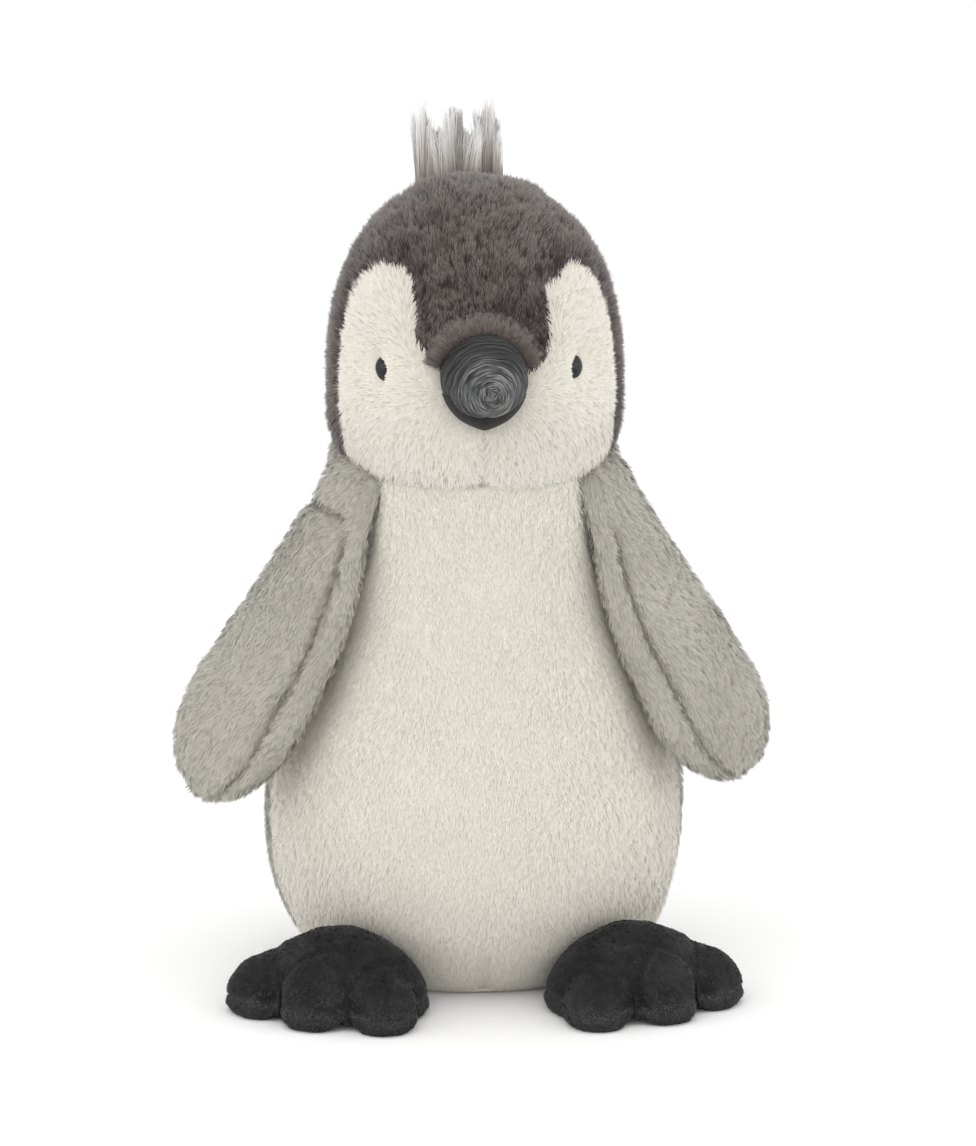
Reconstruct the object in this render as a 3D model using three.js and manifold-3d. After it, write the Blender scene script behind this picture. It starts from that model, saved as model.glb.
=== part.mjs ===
// A stuffed plush penguin chick, about 36 cm tall to the tip of its crest.
// Millimetres, +Z up, the face looks along -Y and the toy's own left is at +X. Built as it is sewn:
// fabric panels round stuffed cores, a weighted pouch in the base, eyes on locking washers, and
// limbs that are stuffed by themselves and sewn on.

import * as THREE from "three";
import { mergeVertices } from "three/addons/utils/BufferGeometryUtils.js";
import Module from "manifold-3d";

const wasm = await Module();
wasm.setup();

const { degToRad, lerp, smoothstep } = THREE.MathUtils;

// ---------------------------------------------------------------- driving dimensions

const fabric = 2.2; // backing and the dense foot of the pile
const seamGap = 0.5; // clearance between pieces that are sewn edge to edge
const fill = fabric + seamGap; // how deep a stuffed core lies under the outside

const body = {
  halfWidth: 83.5, // at the widest ring
  depthShare: 0.9, // half-depth over half-width
  widestZ: 70,
  lowerReach: 80.7, // semi-height of the lower curve, which the base cuts off at z = 0
  waistHalfWidth: 60,
  waistZ: 182,
  shoulderZ: 205,
  shoulderRise: 48, // semi-height of the curve from the shoulders in to the neck
  topZ: 236,
  roundness: 2.2, // superellipse exponent of the lower curve
};
const pouchHeight = 34; // top of the weighted pouch

const head = {
  halfWidth: 58,
  depthShare: 0.95,
  centreY: -5,
  widestZ: 244,
  upperReach: 83,
  lowerReach: 45,
  roundness: 2.2,
};

const neck = {
  z: 220, // where the neck seam's plane crosses the body axis
  tilt: degToRad(14), // the seam is lower at the front
  nodLimit: degToRad(8), // the head tips this far before it meets the shoulders
  plugRadius: 30,
  plugDepth: 14,
  plugClearance: 0.6,
};

// The seam between the white front and the grey back in the side view, as (y, z) from the top down.
const bellySeam = [
  [-38, 240],
  [-38, 190],
  [-24, 135],
  [-14, 80],
  [-8, 0],
];

const gussetHalfWidth = 27.5; // dark strip from the beak over the crown to the nape
// The white face beside that strip, in the front view: the round lobe that rises beside the crown.
const face = {
  backY: -17, // from the head's middle forwards to its seam with the dark side panel
  lobe: new THREE.Vector2(37, 297),
  lobeSide: new THREE.Vector2(47, 292),
  cheekZ: 268,
  lobeRound: 10,
  browZ: 262, // where the strip starts to narrow towards the beak
};

const beak = { z: 251, halfWidth: 17, halfHeight: 18.5, length: 33, droop: 2, sunk: 8, roundness: 1.5 };
const beakSplit = 0.45; // the lower piece starts this share of the half-height below the middle
const brow = { radius: 24, rollRadius: 5.5, halfSpan: degToRad(62), taper: 0.45, flatness: 0.8 };

const eye = { x: 40, z: 255, radius: 5.4, bulge: 3.2, shankRadius: 1.8, shankLength: 10, seat: 1.2 };
const washer = { radius: 6.5, thickness: 1.5, depth: 4.5 };
const shankFit = 0.3;

const crest = {
  x: -6, y: 4, baseHalfWidth: 15, baseHalfDepth: 7, height: 31, tipHalfWidth: 13, tipHalfDepth: 2,
};
const crestSunk = 8; // how far its foot would reach into the crown if it weren't trimmed there

const flipper = {
  seamZ: 207, // the top of its seam on the shoulder
  around: degToRad(-26.5), // how far round the body its seam lies, from the side towards the front
  proud: 3.3, // the middle of its root stands this far out of the body
  length: 136,
  rootHalfWidth: 15,
  halfWidth: 23.5,
  rootHalfThickness: 8,
  halfThickness: 12,
  widestShare: 0.6, // share of the length where the full width is reached
  roundedShare: 0.3, // share of the length that the rounded tip takes
  lean: degToRad(23), // outwards from the vertical
  forward: degToRad(6), // towards the front
  facing: degToRad(38), // the broad face turns this far outwards from the front
  twist: degToRad(22), // and this much further at the root, against the shoulder
};

const foot = {
  seamZ: 10, // height on the body where the heel is sewn
  around: degToRad(-49), // how far round the body the heel lies, from the side towards the front
  heading: degToRad(28), // the middle toe points this far outwards
  toeSpread: degToRad(31),
  outerToeReach: 67,
  middleToeReach: 61,
  toeHalfWidth: 15.5,
  toeHalfLength: 26,
  toeHeight: 25,
  padHalfWidth: 34,
  padHalfLength: 29,
  padHeight: 34,
  padReach: 27, // heel to the pad's centre
  bodyClearance: 3.5, // room for the foot to flex upwards
};
const toeStitch = { width: 1.4, thickness: 0.7, gap: 0.35, reach: 46, topZ: 17 };

const careLabel = { z: 46, height: 18, length: 11, thickness: 0.8 };

const segments = { body: 24, head: 22, limb: 14, beak: 16, brow: 8, eye: 12, neck: 28, foot: 12 };

const colours = {
  crown: [0x5b5350, 0.95],
  cream: [0xe0ddd2, 0.95],
  grey: [0xa9a69b, 0.95],
  charcoal: [0x2b2b2b, 0.9],
  beak: [0x4a4a4a, 0.85],
  crest: [0xa8a39a, 0.9],
  eye: [0x08080a, 0.15],
  fibre: [0xf2f2ee, 1.0],
  pouch: [0xd8d4c8, 0.95],
  nylon: [0xe8e8e4, 0.5],
  thread: [0x1c1c1c, 0.8],
  satin: [0xf4f4f0, 0.6],
};

// ---------------------------------------------------------------- solids and booleans

function solidOf(geometry) {
  const bare = new THREE.BufferGeometry();
  const source = geometry.index ? geometry.toNonIndexed() : geometry;
  bare.setAttribute("position", source.getAttribute("position"));
  const merged = mergeVertices(bare, 1e-4);
  return new wasm.Manifold(
    new wasm.Mesh({
      numProp: 3,
      vertProperties: merged.attributes.position.array,
      triVerts: new Uint32Array(merged.index.array),
    }),
  );
}

function geometryOf(solid) {
  const mesh = solid.getMesh();
  const geometry = new THREE.BufferGeometry();
  const positions = new Float32Array(mesh.numVert * 3);
  for (let i = 0; i < mesh.numVert; i++) {
    const start = i * mesh.numProp;
    positions.set(mesh.vertProperties.subarray(start, start + 3), i * 3);
  }
  geometry.setAttribute("position", new THREE.BufferAttribute(positions, 3));
  geometry.setIndex(new THREE.BufferAttribute(mesh.triVerts, 1));
  geometry.computeVertexNormals();
  return geometry;
}

const cut = (solid, ...tools) => tools.reduce((left, tool) => left.subtract(tool), solid);
const common = (solid, ...tools) => tools.reduce((left, tool) => left.intersect(tool), solid);
const join = (...solids) => solids.reduce((all, solid) => all.add(solid));
const mirrored = (solid) => solid.mirror([1, 0, 0]);

function block(from, to) {
  const size = new THREE.Vector3().subVectors(to, from);
  const middle = new THREE.Vector3().addVectors(from, to).multiplyScalar(0.5);
  return solidOf(new THREE.BoxGeometry(size.x, size.y, size.z).translate(middle.x, middle.y, middle.z));
}

const far = 500; // beyond every part of the toy
const above = (z) => block(new THREE.Vector3(-far, -far, z), new THREE.Vector3(far, far, far));
const below = (z) => block(new THREE.Vector3(-far, -far, -far), new THREE.Vector3(far, far, z));
const rightOf = (x) => block(new THREE.Vector3(-far, -far, -far), new THREE.Vector3(x, far, far));
const leftOf = (x) => block(new THREE.Vector3(x, -far, -far), new THREE.Vector3(far, far, far));

// A closed skin through rings of points, each ring anticlockwise seen from the side of the last ring.
// A ring of one point closes its end, and any other end is closed by a fan about its middle.
function loft(rings) {
  const positions = [];
  const triangle = (a, b, c) => positions.push(...a.toArray(), ...b.toArray(), ...c.toArray());
  const at = (ring, i) => ring[i % ring.length];
  for (let k = 0; k + 1 < rings.length; k++) {
    const [lower, upper] = [rings[k], rings[k + 1]];
    for (let i = 0; i < Math.max(lower.length, upper.length); i++) {
      if (lower.length > 1) triangle(at(lower, i), at(lower, i + 1), at(upper, i));
      if (upper.length > 1) triangle(at(lower, i + 1), at(upper, i + 1), at(upper, i));
    }
  }
  const fan = (ring, flipped) => {
    if (ring.length === 1) return;
    const middle = ring.reduce((sum, p) => sum.add(p), new THREE.Vector3()).divideScalar(ring.length);
    ring.forEach((p, i) => {
      const next = at(ring, i + 1);
      if (flipped) triangle(middle, next, p);
      else triangle(middle, p, next);
    });
  };
  fan(rings[0], true);
  fan(rings[rings.length - 1], false);
  const geometry = new THREE.BufferGeometry();
  geometry.setAttribute("position", new THREE.BufferAttribute(new Float32Array(positions), 3));
  return solidOf(geometry);
}

function ellipse(halfWidth, halfDepth, centreY, z, count) {
  return Array.from({ length: count }, (_, i) => {
    const turn = (2 * Math.PI * i) / count;
    return new THREE.Vector3(halfWidth * Math.cos(turn), centreY + halfDepth * Math.sin(turn), z);
  });
}

// A solid of revolution about +Z from [radius, height] pairs.
function turned(profile, count) {
  const points = profile.map(([radius, height]) => new THREE.Vector2(radius, height));
  return solidOf(new THREE.LatheGeometry(points, count).rotateX(Math.PI / 2));
}

const placed = (solid, matrix) => solid.transform(matrix.elements);
const superRound = (share, roundness) => (1 - Math.min(1, Math.abs(share)) ** roundness) ** (1 / roundness);
const steps = (from, to, count) => Array.from({ length: count + 1 }, (_, i) => lerp(from, to, i / count));

// ---------------------------------------------------------------- body surface

function bodyHalfWidth(z) {
  if (z < body.widestZ) {
    return body.halfWidth * superRound((body.widestZ - z) / body.lowerReach, body.roundness);
  }
  const share = smoothstep(z, body.widestZ, body.waistZ);
  const flank = lerp(body.halfWidth, body.waistHalfWidth, share);
  return flank * superRound(Math.max(0, z - body.shoulderZ) / body.shoulderRise, 2);
}

// The point of the body's surface at height z and a turn round it from +X, and its level normal.
function bodySpot(z, turn) {
  const [halfWidth, halfDepth] = [bodyHalfWidth(z), bodyHalfWidth(z) * body.depthShare];
  const point = new THREE.Vector3(halfWidth * Math.cos(turn), halfDepth * Math.sin(turn), z);
  const normal = new THREE.Vector3(halfDepth * Math.cos(turn), halfWidth * Math.sin(turn), 0);
  return { point, normal: normal.normalize() };
}

// The whole body moved inwards by inset (outwards where it is negative), up to its flat top.
function bodySolid(inset) {
  const lowerStretch = steps(0, 1, 5).map((share) => body.widestZ * share ** 1.6);
  const flankStretch = steps(body.widestZ, body.waistZ, 5).slice(1);
  const shoulderStretch = steps(body.waistZ, body.topZ, 4).slice(1);
  const rings = [...lowerStretch, ...flankStretch, ...shoulderStretch].map((z, i) => {
    const halfWidth = bodyHalfWidth(z) - inset;
    const halfDepth = bodyHalfWidth(z) * body.depthShare - inset;
    return ellipse(halfWidth, halfDepth, 0, i === 0 ? inset : Math.max(z, inset + 1), segments.body);
  });
  return loft(rings);
}

// ---------------------------------------------------------------- head surface

function headSolid(inset) {
  const rings = steps(-Math.PI * 0.36, Math.PI * 0.46, 9).map((turn) => {
    const reach = (turn < 0 ? head.lowerReach : head.upperReach) - inset;
    const round = superRound(Math.sin(turn), head.roundness);
    const halfWidth = (head.halfWidth - inset) * round;
    const halfDepth = (head.halfWidth * head.depthShare - inset) * round;
    const z = head.widestZ + reach * Math.sin(turn);
    return ellipse(halfWidth, halfDepth, head.centreY, z, segments.head);
  });
  rings.push([new THREE.Vector3(0, head.centreY, head.widestZ + head.upperReach - inset)]);
  return loft(rings);
}

// The point of the head's front at (x, z), and the way its surface faces there.
function headFront(x, z) {
  const reach = z < head.widestZ ? head.lowerReach : head.upperReach;
  const round = superRound((z - head.widestZ) / reach, head.roundness);
  const [halfWidth, halfDepth] = [head.halfWidth * round, head.halfWidth * head.depthShare * round];
  const depth = halfDepth * Math.sqrt(1 - (x / halfWidth) ** 2);
  const slope = (Math.abs(z - head.widestZ) / reach) ** (head.roundness - 1) / reach;
  const upward = Math.sign(z - head.widestZ) * slope * head.halfWidth;
  const facing = new THREE.Vector3(x / halfWidth, -depth / halfDepth / head.depthShare, upward);
  return { point: new THREE.Vector3(x, head.centreY - depth, z), facing: facing.normalize() };
}

// ---------------------------------------------------------------- neck seam

const neckPlace = new THREE.Matrix4()
  .makeTranslation(0, 0, neck.z)
  .multiply(new THREE.Matrix4().makeRotationX(neck.tilt));

// A solid of revolution about the neck axis, from [radius, height above the seam] pairs.
const aboutNeck = (profile) => placed(turned(profile, segments.neck), neckPlace);

const rimRise = far * Math.tan(neck.nodLimit);
const underHead = aboutNeck([
  [0, -far],
  [far, -far],
  [far, seamGap + rimRise],
  [0, seamGap],
]);
const overBody = aboutNeck([
  [0, 0],
  [far, 0],
  [far, far],
  [0, far],
]);
const plugHole = aboutNeck([
  [0, -neck.plugDepth - neck.plugClearance],
  [neck.plugRadius + neck.plugClearance, -neck.plugDepth - neck.plugClearance],
  [neck.plugRadius + neck.plugClearance, 1],
  [0, 1],
]);
const neckPlug = aboutNeck([
  [0, -neck.plugDepth],
  [neck.plugRadius, -neck.plugDepth],
  [neck.plugRadius, -seamGap],
  [0, -seamGap],
]);

// ---------------------------------------------------------------- the toy as a scene graph

const toy = new THREE.Group();

function addPiece(parent, name, solid, look) {
  const [color, roughness] = colours[look];
  const material = new THREE.MeshStandardMaterial({ color, roughness, metalness: 0 });
  const mesh = new THREE.Mesh(geometryOf(solid), material);
  mesh.name = name;
  parent.add(mesh);
}

// Both pieces of each pair: the solid is the toy's left one, and the right one mirrors it.
function addPairs(pieces) {
  for (const side of ["left", "right"]) {
    const half = new THREE.Group();
    half.scale.x = side === "left" ? 1 : -1;
    toy.add(half);
    for (const [name, solid, look] of pieces) addPiece(half, `${name}_${side}`, solid, look);
  }
}

// ---------------------------------------------------------------- torso

const bodyWithGap = bodySolid(-seamGap);
const bodyOuter = cut(bodySolid(0), overBody);
const bodyCore = cut(bodySolid(fill), overBody, plugHole);
const bodySkin = common(cut(bodyOuter, bodySolid(fabric)), above(fill));

// The front region, extruded sideways from the seam in the side view, moved back by shift.
function bellyRegion(shift) {
  const seam = new THREE.SplineCurve(bellySeam.map(([y, z]) => new THREE.Vector2(y + shift, z)));
  const points = seam.getPoints(10);
  const outline = new THREE.Shape([
    new THREE.Vector2(-far, far),
    new THREE.Vector2(points[0].x, far),
    ...points,
    new THREE.Vector2(points[points.length - 1].x, -far),
    new THREE.Vector2(-far, -far),
  ]);
  const slab = new THREE.ExtrudeGeometry(outline, { depth: 2 * far, bevelEnabled: false });
  const sideways = new THREE.Matrix4().makeBasis(
    new THREE.Vector3(0, 1, 0),
    new THREE.Vector3(0, 0, 1),
    new THREE.Vector3(1, 0, 0),
  );
  return solidOf(slab.translate(0, 0, -far).applyMatrix4(sideways));
}

// A blank loop of ribbon caught in the seam at the back, just above the base.
function careLabelSolid() {
  const root = bodySpot(careLabel.z, Math.PI / 2).point.y;
  const corner = new THREE.Vector3(-careLabel.thickness / 2, 0, careLabel.z - careLabel.height / 2);
  const opposite = new THREE.Vector3(careLabel.thickness / 2, root + careLabel.length, 0);
  opposite.z = careLabel.z + careLabel.height / 2;
  return cut(block(corner, opposite), bodyWithGap);
}

addPiece(toy, "base_panel", common(bodyOuter, below(fabric)), "cream");
addPiece(toy, "pellet_pouch", common(bodyCore, below(pouchHeight)), "pouch");
addPiece(toy, "body_stuffing", common(bodyCore, above(pouchHeight + seamGap)), "fibre");
addPiece(toy, "belly_panel", common(bodySkin, bellyRegion(0)), "cream");
addPiece(toy, "care_label", careLabelSolid(), "satin");
addPiece(toy, "neck_stuffing", neckPlug, "fibre");
addPairs([["back_panel", common(cut(bodySkin, bellyRegion(seamGap)), leftOf(seamGap / 2)), "grey"]]);

// ---------------------------------------------------------------- head

const headWithGap = headSolid(-seamGap);
const headSkin = cut(headSolid(0), underHead, headSolid(fabric));

// The outline of the left face panel in the front view, grown by grow, as a slab towards the front.
function faceRegion(grow) {
  const outer = head.halfWidth + grow;
  const inner = gussetHalfWidth - grow;
  const bulge = inner + 1;
  const lobe = new THREE.Vector2(face.lobe.x, face.lobe.y + grow);
  const side = new THREE.Vector2(face.lobeSide.x + grow, face.lobeSide.y + grow);
  const shape = new THREE.Shape();
  shape.moveTo(-grow, 0);
  shape.lineTo(outer, 0);
  shape.lineTo(outer, head.widestZ);
  shape.bezierCurveTo(outer, face.cheekZ, side.x, side.y, lobe.x, lobe.y);
  shape.quadraticCurveTo(bulge, lobe.y - 1, inner, lobe.y - face.lobeRound);
  shape.quadraticCurveTo(bulge, (lobe.y + face.browZ) / 2, bulge, face.browZ);
  shape.quadraticCurveTo(bulge, beak.z + grow, beak.halfWidth, beak.z + grow);
  shape.lineTo(-grow, beak.z + grow);
  const slab = new THREE.ExtrudeGeometry(shape, { depth: far, bevelEnabled: false, curveSegments: 5 });
  return solidOf(slab.rotateX(Math.PI / 2).translate(0, head.centreY + face.backY + grow, 0));
}

const beakFoot = headFront(0, beak.z).point;
const beakAim = new THREE.Vector3(0, -beak.length, -beak.droop).normalize();
const beakPlace = new THREE.Matrix4().compose(
  beakFoot,
  new THREE.Quaternion().setFromUnitVectors(new THREE.Vector3(0, 0, 1), beakAim),
  new THREE.Vector3(1, beak.halfHeight / beak.halfWidth, 1),
);

// The beak about its own axis, a blunt cone that starts sunk into the head, moved inwards by inset.
function beakSolid(inset) {
  const radius = beak.halfWidth - inset;
  const cone = steps(0, 1, 6).map((share) => {
    return [radius * superRound(share, beak.roundness), (beak.length - inset) * share];
  });
  return placed(turned([[0, -beak.sunk], [radius, -beak.sunk], ...cone], segments.beak), beakPlace);
}

const beakWithGap = beakSolid(-seamGap);
const beakSkin = cut(beakSolid(0), headWithGap, beakSolid(fabric));
const beakSplitZ = beak.z - beak.halfHeight * beakSplit;

const eyeSpot = headFront(eye.x, eye.z);
const eyePlace = new THREE.Matrix4().compose(
  eyeSpot.point,
  new THREE.Quaternion().setFromUnitVectors(new THREE.Vector3(0, 0, 1), eyeSpot.facing),
  new THREE.Vector3(1, 1, 1),
);

// A solid of revolution about the eye's axis, from [radius, height above the fabric] pairs.
const aboutEye = (profile) => placed(turned(profile, segments.eye), eyePlace);

const disc = (radius, bottom, top) => [
  [0, bottom],
  [radius, bottom],
  [radius, top],
  [0, top],
];
const eyeTop = 20; // above the eye's dome, for the tools that cut its seat
const eyeDome = steps(0, 1, 4).map((share) => {
  const height = (eye.bulge + eye.seat) * share;
  return [eye.radius * superRound(share, 2), height - eye.seat + seamGap];
});
const eyeSolid = aboutEye([
  [0, -eye.shankLength],
  [eye.shankRadius, -eye.shankLength],
  [eye.shankRadius, -eye.seat + seamGap],
  ...eyeDome,
]);
const shankBore = eye.shankRadius + shankFit;
const eyeSeat = aboutEye(disc(eye.radius + seamGap, -eye.seat, eyeTop));
const shankHole = aboutEye(disc(shankBore, -eye.shankLength - seamGap, eyeTop));
const washerBottom = -washer.depth - washer.thickness;
const washerSolid = aboutEye([
  [shankBore, washerBottom],
  [washer.radius, washerBottom],
  [washer.radius, -washer.depth],
  [shankBore, -washer.depth],
  [shankBore, washerBottom],
]);
const washerPocket = aboutEye(disc(washer.radius + seamGap, washerBottom - seamGap, -washer.depth + seamGap));
const eyeTools = [eyeSeat, shankHole, washerPocket].flatMap((tool) => [tool, mirrored(tool)]);

const facePanel = cut(common(headSkin, faceRegion(0), leftOf(seamGap / 2)), beakWithGap, eyeSeat, shankHole);
const bothFaces = join(faceRegion(seamGap), mirrored(faceRegion(seamGap)));
const darkSkin = cut(headSkin, bothFaces, beakWithGap);
const gussetPanel = common(darkSkin, leftOf(-gussetHalfWidth), rightOf(gussetHalfWidth));
const sidePanel = common(darkSkin, leftOf(gussetHalfWidth + seamGap));

// The padded fold over the beak: part of a ring that tapers towards both ends.
function browFold() {
  const rings = steps(-brow.halfSpan, brow.halfSpan, 8).map((turn) => {
    const radius = brow.rollRadius * (1 - brow.taper * (turn / brow.halfSpan) ** 2);
    const spot = headFront(brow.radius * Math.sin(turn), beak.z + brow.radius * Math.cos(turn));
    const along = new THREE.Vector3(Math.cos(turn), 0, -Math.sin(turn));
    const across = new THREE.Vector3().crossVectors(along, spot.facing).normalize();
    return Array.from({ length: segments.brow }, (_, i) => {
      const angle = (2 * Math.PI * i) / segments.brow;
      return spot.point
        .clone()
        .addScaledVector(across, Math.cos(angle) * radius)
        .addScaledVector(spot.facing, -Math.sin(angle) * radius * brow.flatness);
    });
  });
  return cut(loft(rings), headWithGap, beakWithGap);
}

// The crest of long pile, a tapering lock that stands on the crown.
function crestSolid() {
  const top = head.widestZ + head.upperReach;
  const rings = steps(0, 1, 2).map((share) => {
    const halfWidth = lerp(crest.baseHalfWidth, crest.tipHalfWidth, share);
    const halfDepth = lerp(crest.baseHalfDepth, crest.tipHalfDepth, share);
    const z = lerp(top - crestSunk, top + crest.height, share);
    return ellipse(halfWidth, halfDepth, crest.y, z, segments.limb).map((p) => p.setX(p.x + crest.x));
  });
  return cut(loft(rings), headWithGap);
}

addPiece(toy, "head_stuffing", cut(headSolid(fill), underHead, ...eyeTools), "fibre");
addPiece(toy, "crown_gusset", gussetPanel, "crown");
addPiece(toy, "brow_fold", browFold(), "crown");
addPiece(toy, "beak_upper", common(beakSkin, above(beakSplitZ)), "beak");
addPiece(toy, "beak_lower", common(beakSkin, below(beakSplitZ - seamGap)), "charcoal");
addPiece(toy, "beak_stuffing", cut(beakSolid(fill), headWithGap), "fibre");
addPiece(toy, "crest", crestSolid(), "crest");
addPairs([
  ["face_panel", facePanel, "cream"],
  ["head_side_panel", sidePanel, "crown"],
  ["eye", eyeSolid, "eye"],
  ["eye_washer", washerSolid, "nylon"],
]);

// ---------------------------------------------------------------- flippers

// One flipper along -Z from its root, its broad faces looking along -Y and +Y at the lower end.
function flipperShape(inset) {
  const straight = 1 - flipper.roundedShare;
  const roundedEnd = steps(0, 1, 4).slice(1, -1).map((t) => Math.sin((t * Math.PI) / 2));
  const shares = [...steps(0, straight, 4), ...roundedEnd.map((t) => straight + flipper.roundedShare * t)];
  const rings = shares.map((share) => {
    const round = superRound(Math.max(0, share - straight) / flipper.roundedShare, 2.2);
    const grown = smoothstep(share, 0, flipper.widestShare);
    const width = lerp(flipper.rootHalfWidth, flipper.halfWidth, grown) * round;
    const depth = lerp(flipper.rootHalfThickness, flipper.halfThickness, grown) * round;
    const z = -Math.max(inset, share * flipper.length);
    const turn = flipper.twist * (1 - grown);
    return ellipse(width - inset, depth - inset, 0, z, segments.limb).map((p) => {
      return p.applyAxisAngle(new THREE.Vector3(0, 0, 1), turn);
    });
  });
  rings.push([new THREE.Vector3(0, 0, -flipper.length + inset)]);
  return loft(rings.map((ring) => [...ring].reverse()));
}

const shoulderSeam = bodySpot(flipper.seamZ, flipper.around);
const flipperRoot = shoulderSeam.point.clone().addScaledVector(shoulderSeam.normal, flipper.proud);
const flipperDown = new THREE.Vector3(Math.tan(flipper.lean), -Math.tan(flipper.forward), -1).normalize();
const flipperOut = new THREE.Vector3(Math.sin(flipper.facing), -Math.cos(flipper.facing), 0);
flipperOut.addScaledVector(flipperDown, -flipperOut.dot(flipperDown)).normalize();
const flipperBack = flipperOut.clone().negate();
const flipperUp = flipperDown.clone().negate();
const flipperPlace = new THREE.Matrix4()
  .makeBasis(new THREE.Vector3().crossVectors(flipperBack, flipperUp), flipperBack, flipperUp)
  .setPosition(flipperRoot);

// The flipper's inner face follows the body wherever it would run into it.
const flipperSolid = (inset) => placed(flipperShape(inset), flipperPlace);
const flipperSkin = cut(flipperSolid(0), bodyWithGap, flipperSolid(fabric));
const roomForCore = bodySolid(-seamGap - fill);

// The two fabric halves of a flipper part along the plane through its middle.
const outerHalf = block(new THREE.Vector3(-far, -far, -far), new THREE.Vector3(far, -seamGap / 2, far));
const innerHalf = block(new THREE.Vector3(-far, seamGap / 2, -far), new THREE.Vector3(far, far, far));

addPairs([
  ["flipper_outer_panel", common(flipperSkin, placed(outerHalf, flipperPlace)), "grey"],
  ["flipper_inner_panel", common(flipperSkin, placed(innerHalf, flipperPlace)), "grey"],
  ["flipper_stuffing", cut(flipperSolid(fill), roomForCore), "fibre"],
]);

// ---------------------------------------------------------------- feet

const heelSeam = bodySpot(foot.seamZ, foot.around).point;
const footPlace = new THREE.Matrix4().makeRotationZ(foot.heading).setPosition(heelSeam.x, heelSeam.y, 0);

// A flattened ball centred on the floor, reach ahead of the heel, moved inwards by inset.
function lump(reach, turn, halfLength, halfWidth, height, inset) {
  const ball = new THREE.SphereGeometry(1, segments.foot, segments.foot * 0.75);
  ball.rotateX(Math.PI / 2).scale(halfWidth - inset, halfLength - inset, height - inset);
  return solidOf(ball.translate(0, -reach, 0).rotateZ(turn));
}

// The domed pad and its three toes, before they are trimmed to the floor and to the body.
function footSolid(inset) {
  const toes = [-1, 0, 1].map((k) => {
    const reach = (k === 0 ? foot.middleToeReach : foot.outerToeReach) - foot.toeHalfLength;
    return lump(reach, k * foot.toeSpread, foot.toeHalfLength, foot.toeHalfWidth, foot.toeHeight, inset);
  });
  const pad = lump(foot.padReach, 0, foot.padHalfLength, foot.padHalfWidth, foot.padHeight, inset);
  return placed(join(pad, ...toes), footPlace);
}

const trimmedFoot = (inset) => cut(footSolid(inset), bodySolid(-foot.bodyClearance - inset));
const footOuter = trimmedFoot(0);

// One stitch that draws the top down to the sole between two toes: a thread over the foot's edge.
function toeStitchSolid(k) {
  const { width, thickness, gap, reach, topZ } = toeStitch;
  const low = new THREE.Vector3(-width / 2, -far, seamGap);
  const slice = block(low, new THREE.Vector3(width / 2, -reach, topZ));
  const turn = new THREE.Matrix4().makeRotationZ((k * foot.toeSpread) / 2);
  const band = cut(footSolid(-gap - thickness), footSolid(-gap));
  return common(band, placed(slice, footPlace.clone().multiply(turn)));
}

addPairs([
  ["foot_sole", common(footOuter, above(0), below(fabric)), "charcoal"],
  ["foot_upper", common(cut(footOuter, trimmedFoot(fabric)), above(fill)), "charcoal"],
  ["foot_stuffing", common(trimmedFoot(fill), above(fill)), "fibre"],
  ["toe_stitch_inner", toeStitchSolid(-1), "thread"],
  ["toe_stitch_outer", toeStitchSolid(1), "thread"],
]);

// ---------------------------------------------------------------- the part's own frame

// The origin is under the middle of the whole toy, on the surface that it stands on.
const extent = new THREE.Box3().setFromObject(toy);
toy.position.y = -(extent.min.y + extent.max.y) / 2;
const part = new THREE.Group();
part.add(toy);

export default part;
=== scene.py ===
"""A plush penguin chick: fur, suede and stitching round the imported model, in its own frame.

Shapes are worked out in millimetres about the toy's own axis, then placed in the frame in metres.
"""
import math
import bmesh
import bpy
import numpy as np
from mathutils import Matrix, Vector


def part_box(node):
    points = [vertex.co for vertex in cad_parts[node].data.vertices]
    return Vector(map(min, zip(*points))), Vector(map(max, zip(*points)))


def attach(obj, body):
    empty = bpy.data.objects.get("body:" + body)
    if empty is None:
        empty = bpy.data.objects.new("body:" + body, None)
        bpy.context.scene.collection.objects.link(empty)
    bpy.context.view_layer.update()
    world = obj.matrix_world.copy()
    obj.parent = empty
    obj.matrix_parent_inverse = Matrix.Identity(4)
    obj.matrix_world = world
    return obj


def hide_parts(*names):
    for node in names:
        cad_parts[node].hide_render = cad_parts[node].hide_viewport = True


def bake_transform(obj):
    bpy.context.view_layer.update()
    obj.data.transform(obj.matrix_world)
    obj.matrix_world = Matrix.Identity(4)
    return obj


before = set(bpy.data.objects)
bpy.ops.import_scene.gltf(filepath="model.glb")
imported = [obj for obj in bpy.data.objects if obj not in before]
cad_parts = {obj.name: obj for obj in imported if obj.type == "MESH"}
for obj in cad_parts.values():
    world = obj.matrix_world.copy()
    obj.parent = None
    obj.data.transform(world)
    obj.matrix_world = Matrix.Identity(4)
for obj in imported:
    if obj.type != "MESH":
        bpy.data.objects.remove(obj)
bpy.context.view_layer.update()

MM = 0.001
base_low, base_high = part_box("base_panel")
AXIS_Y = (base_low[1] + base_high[1]) / 2 / MM  # the toy's upright axis, in the frame
BOTH = (("left", 1), ("right", -1))  # the toy's own left is at +X

# ---- driving dimensions (mm)

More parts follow.
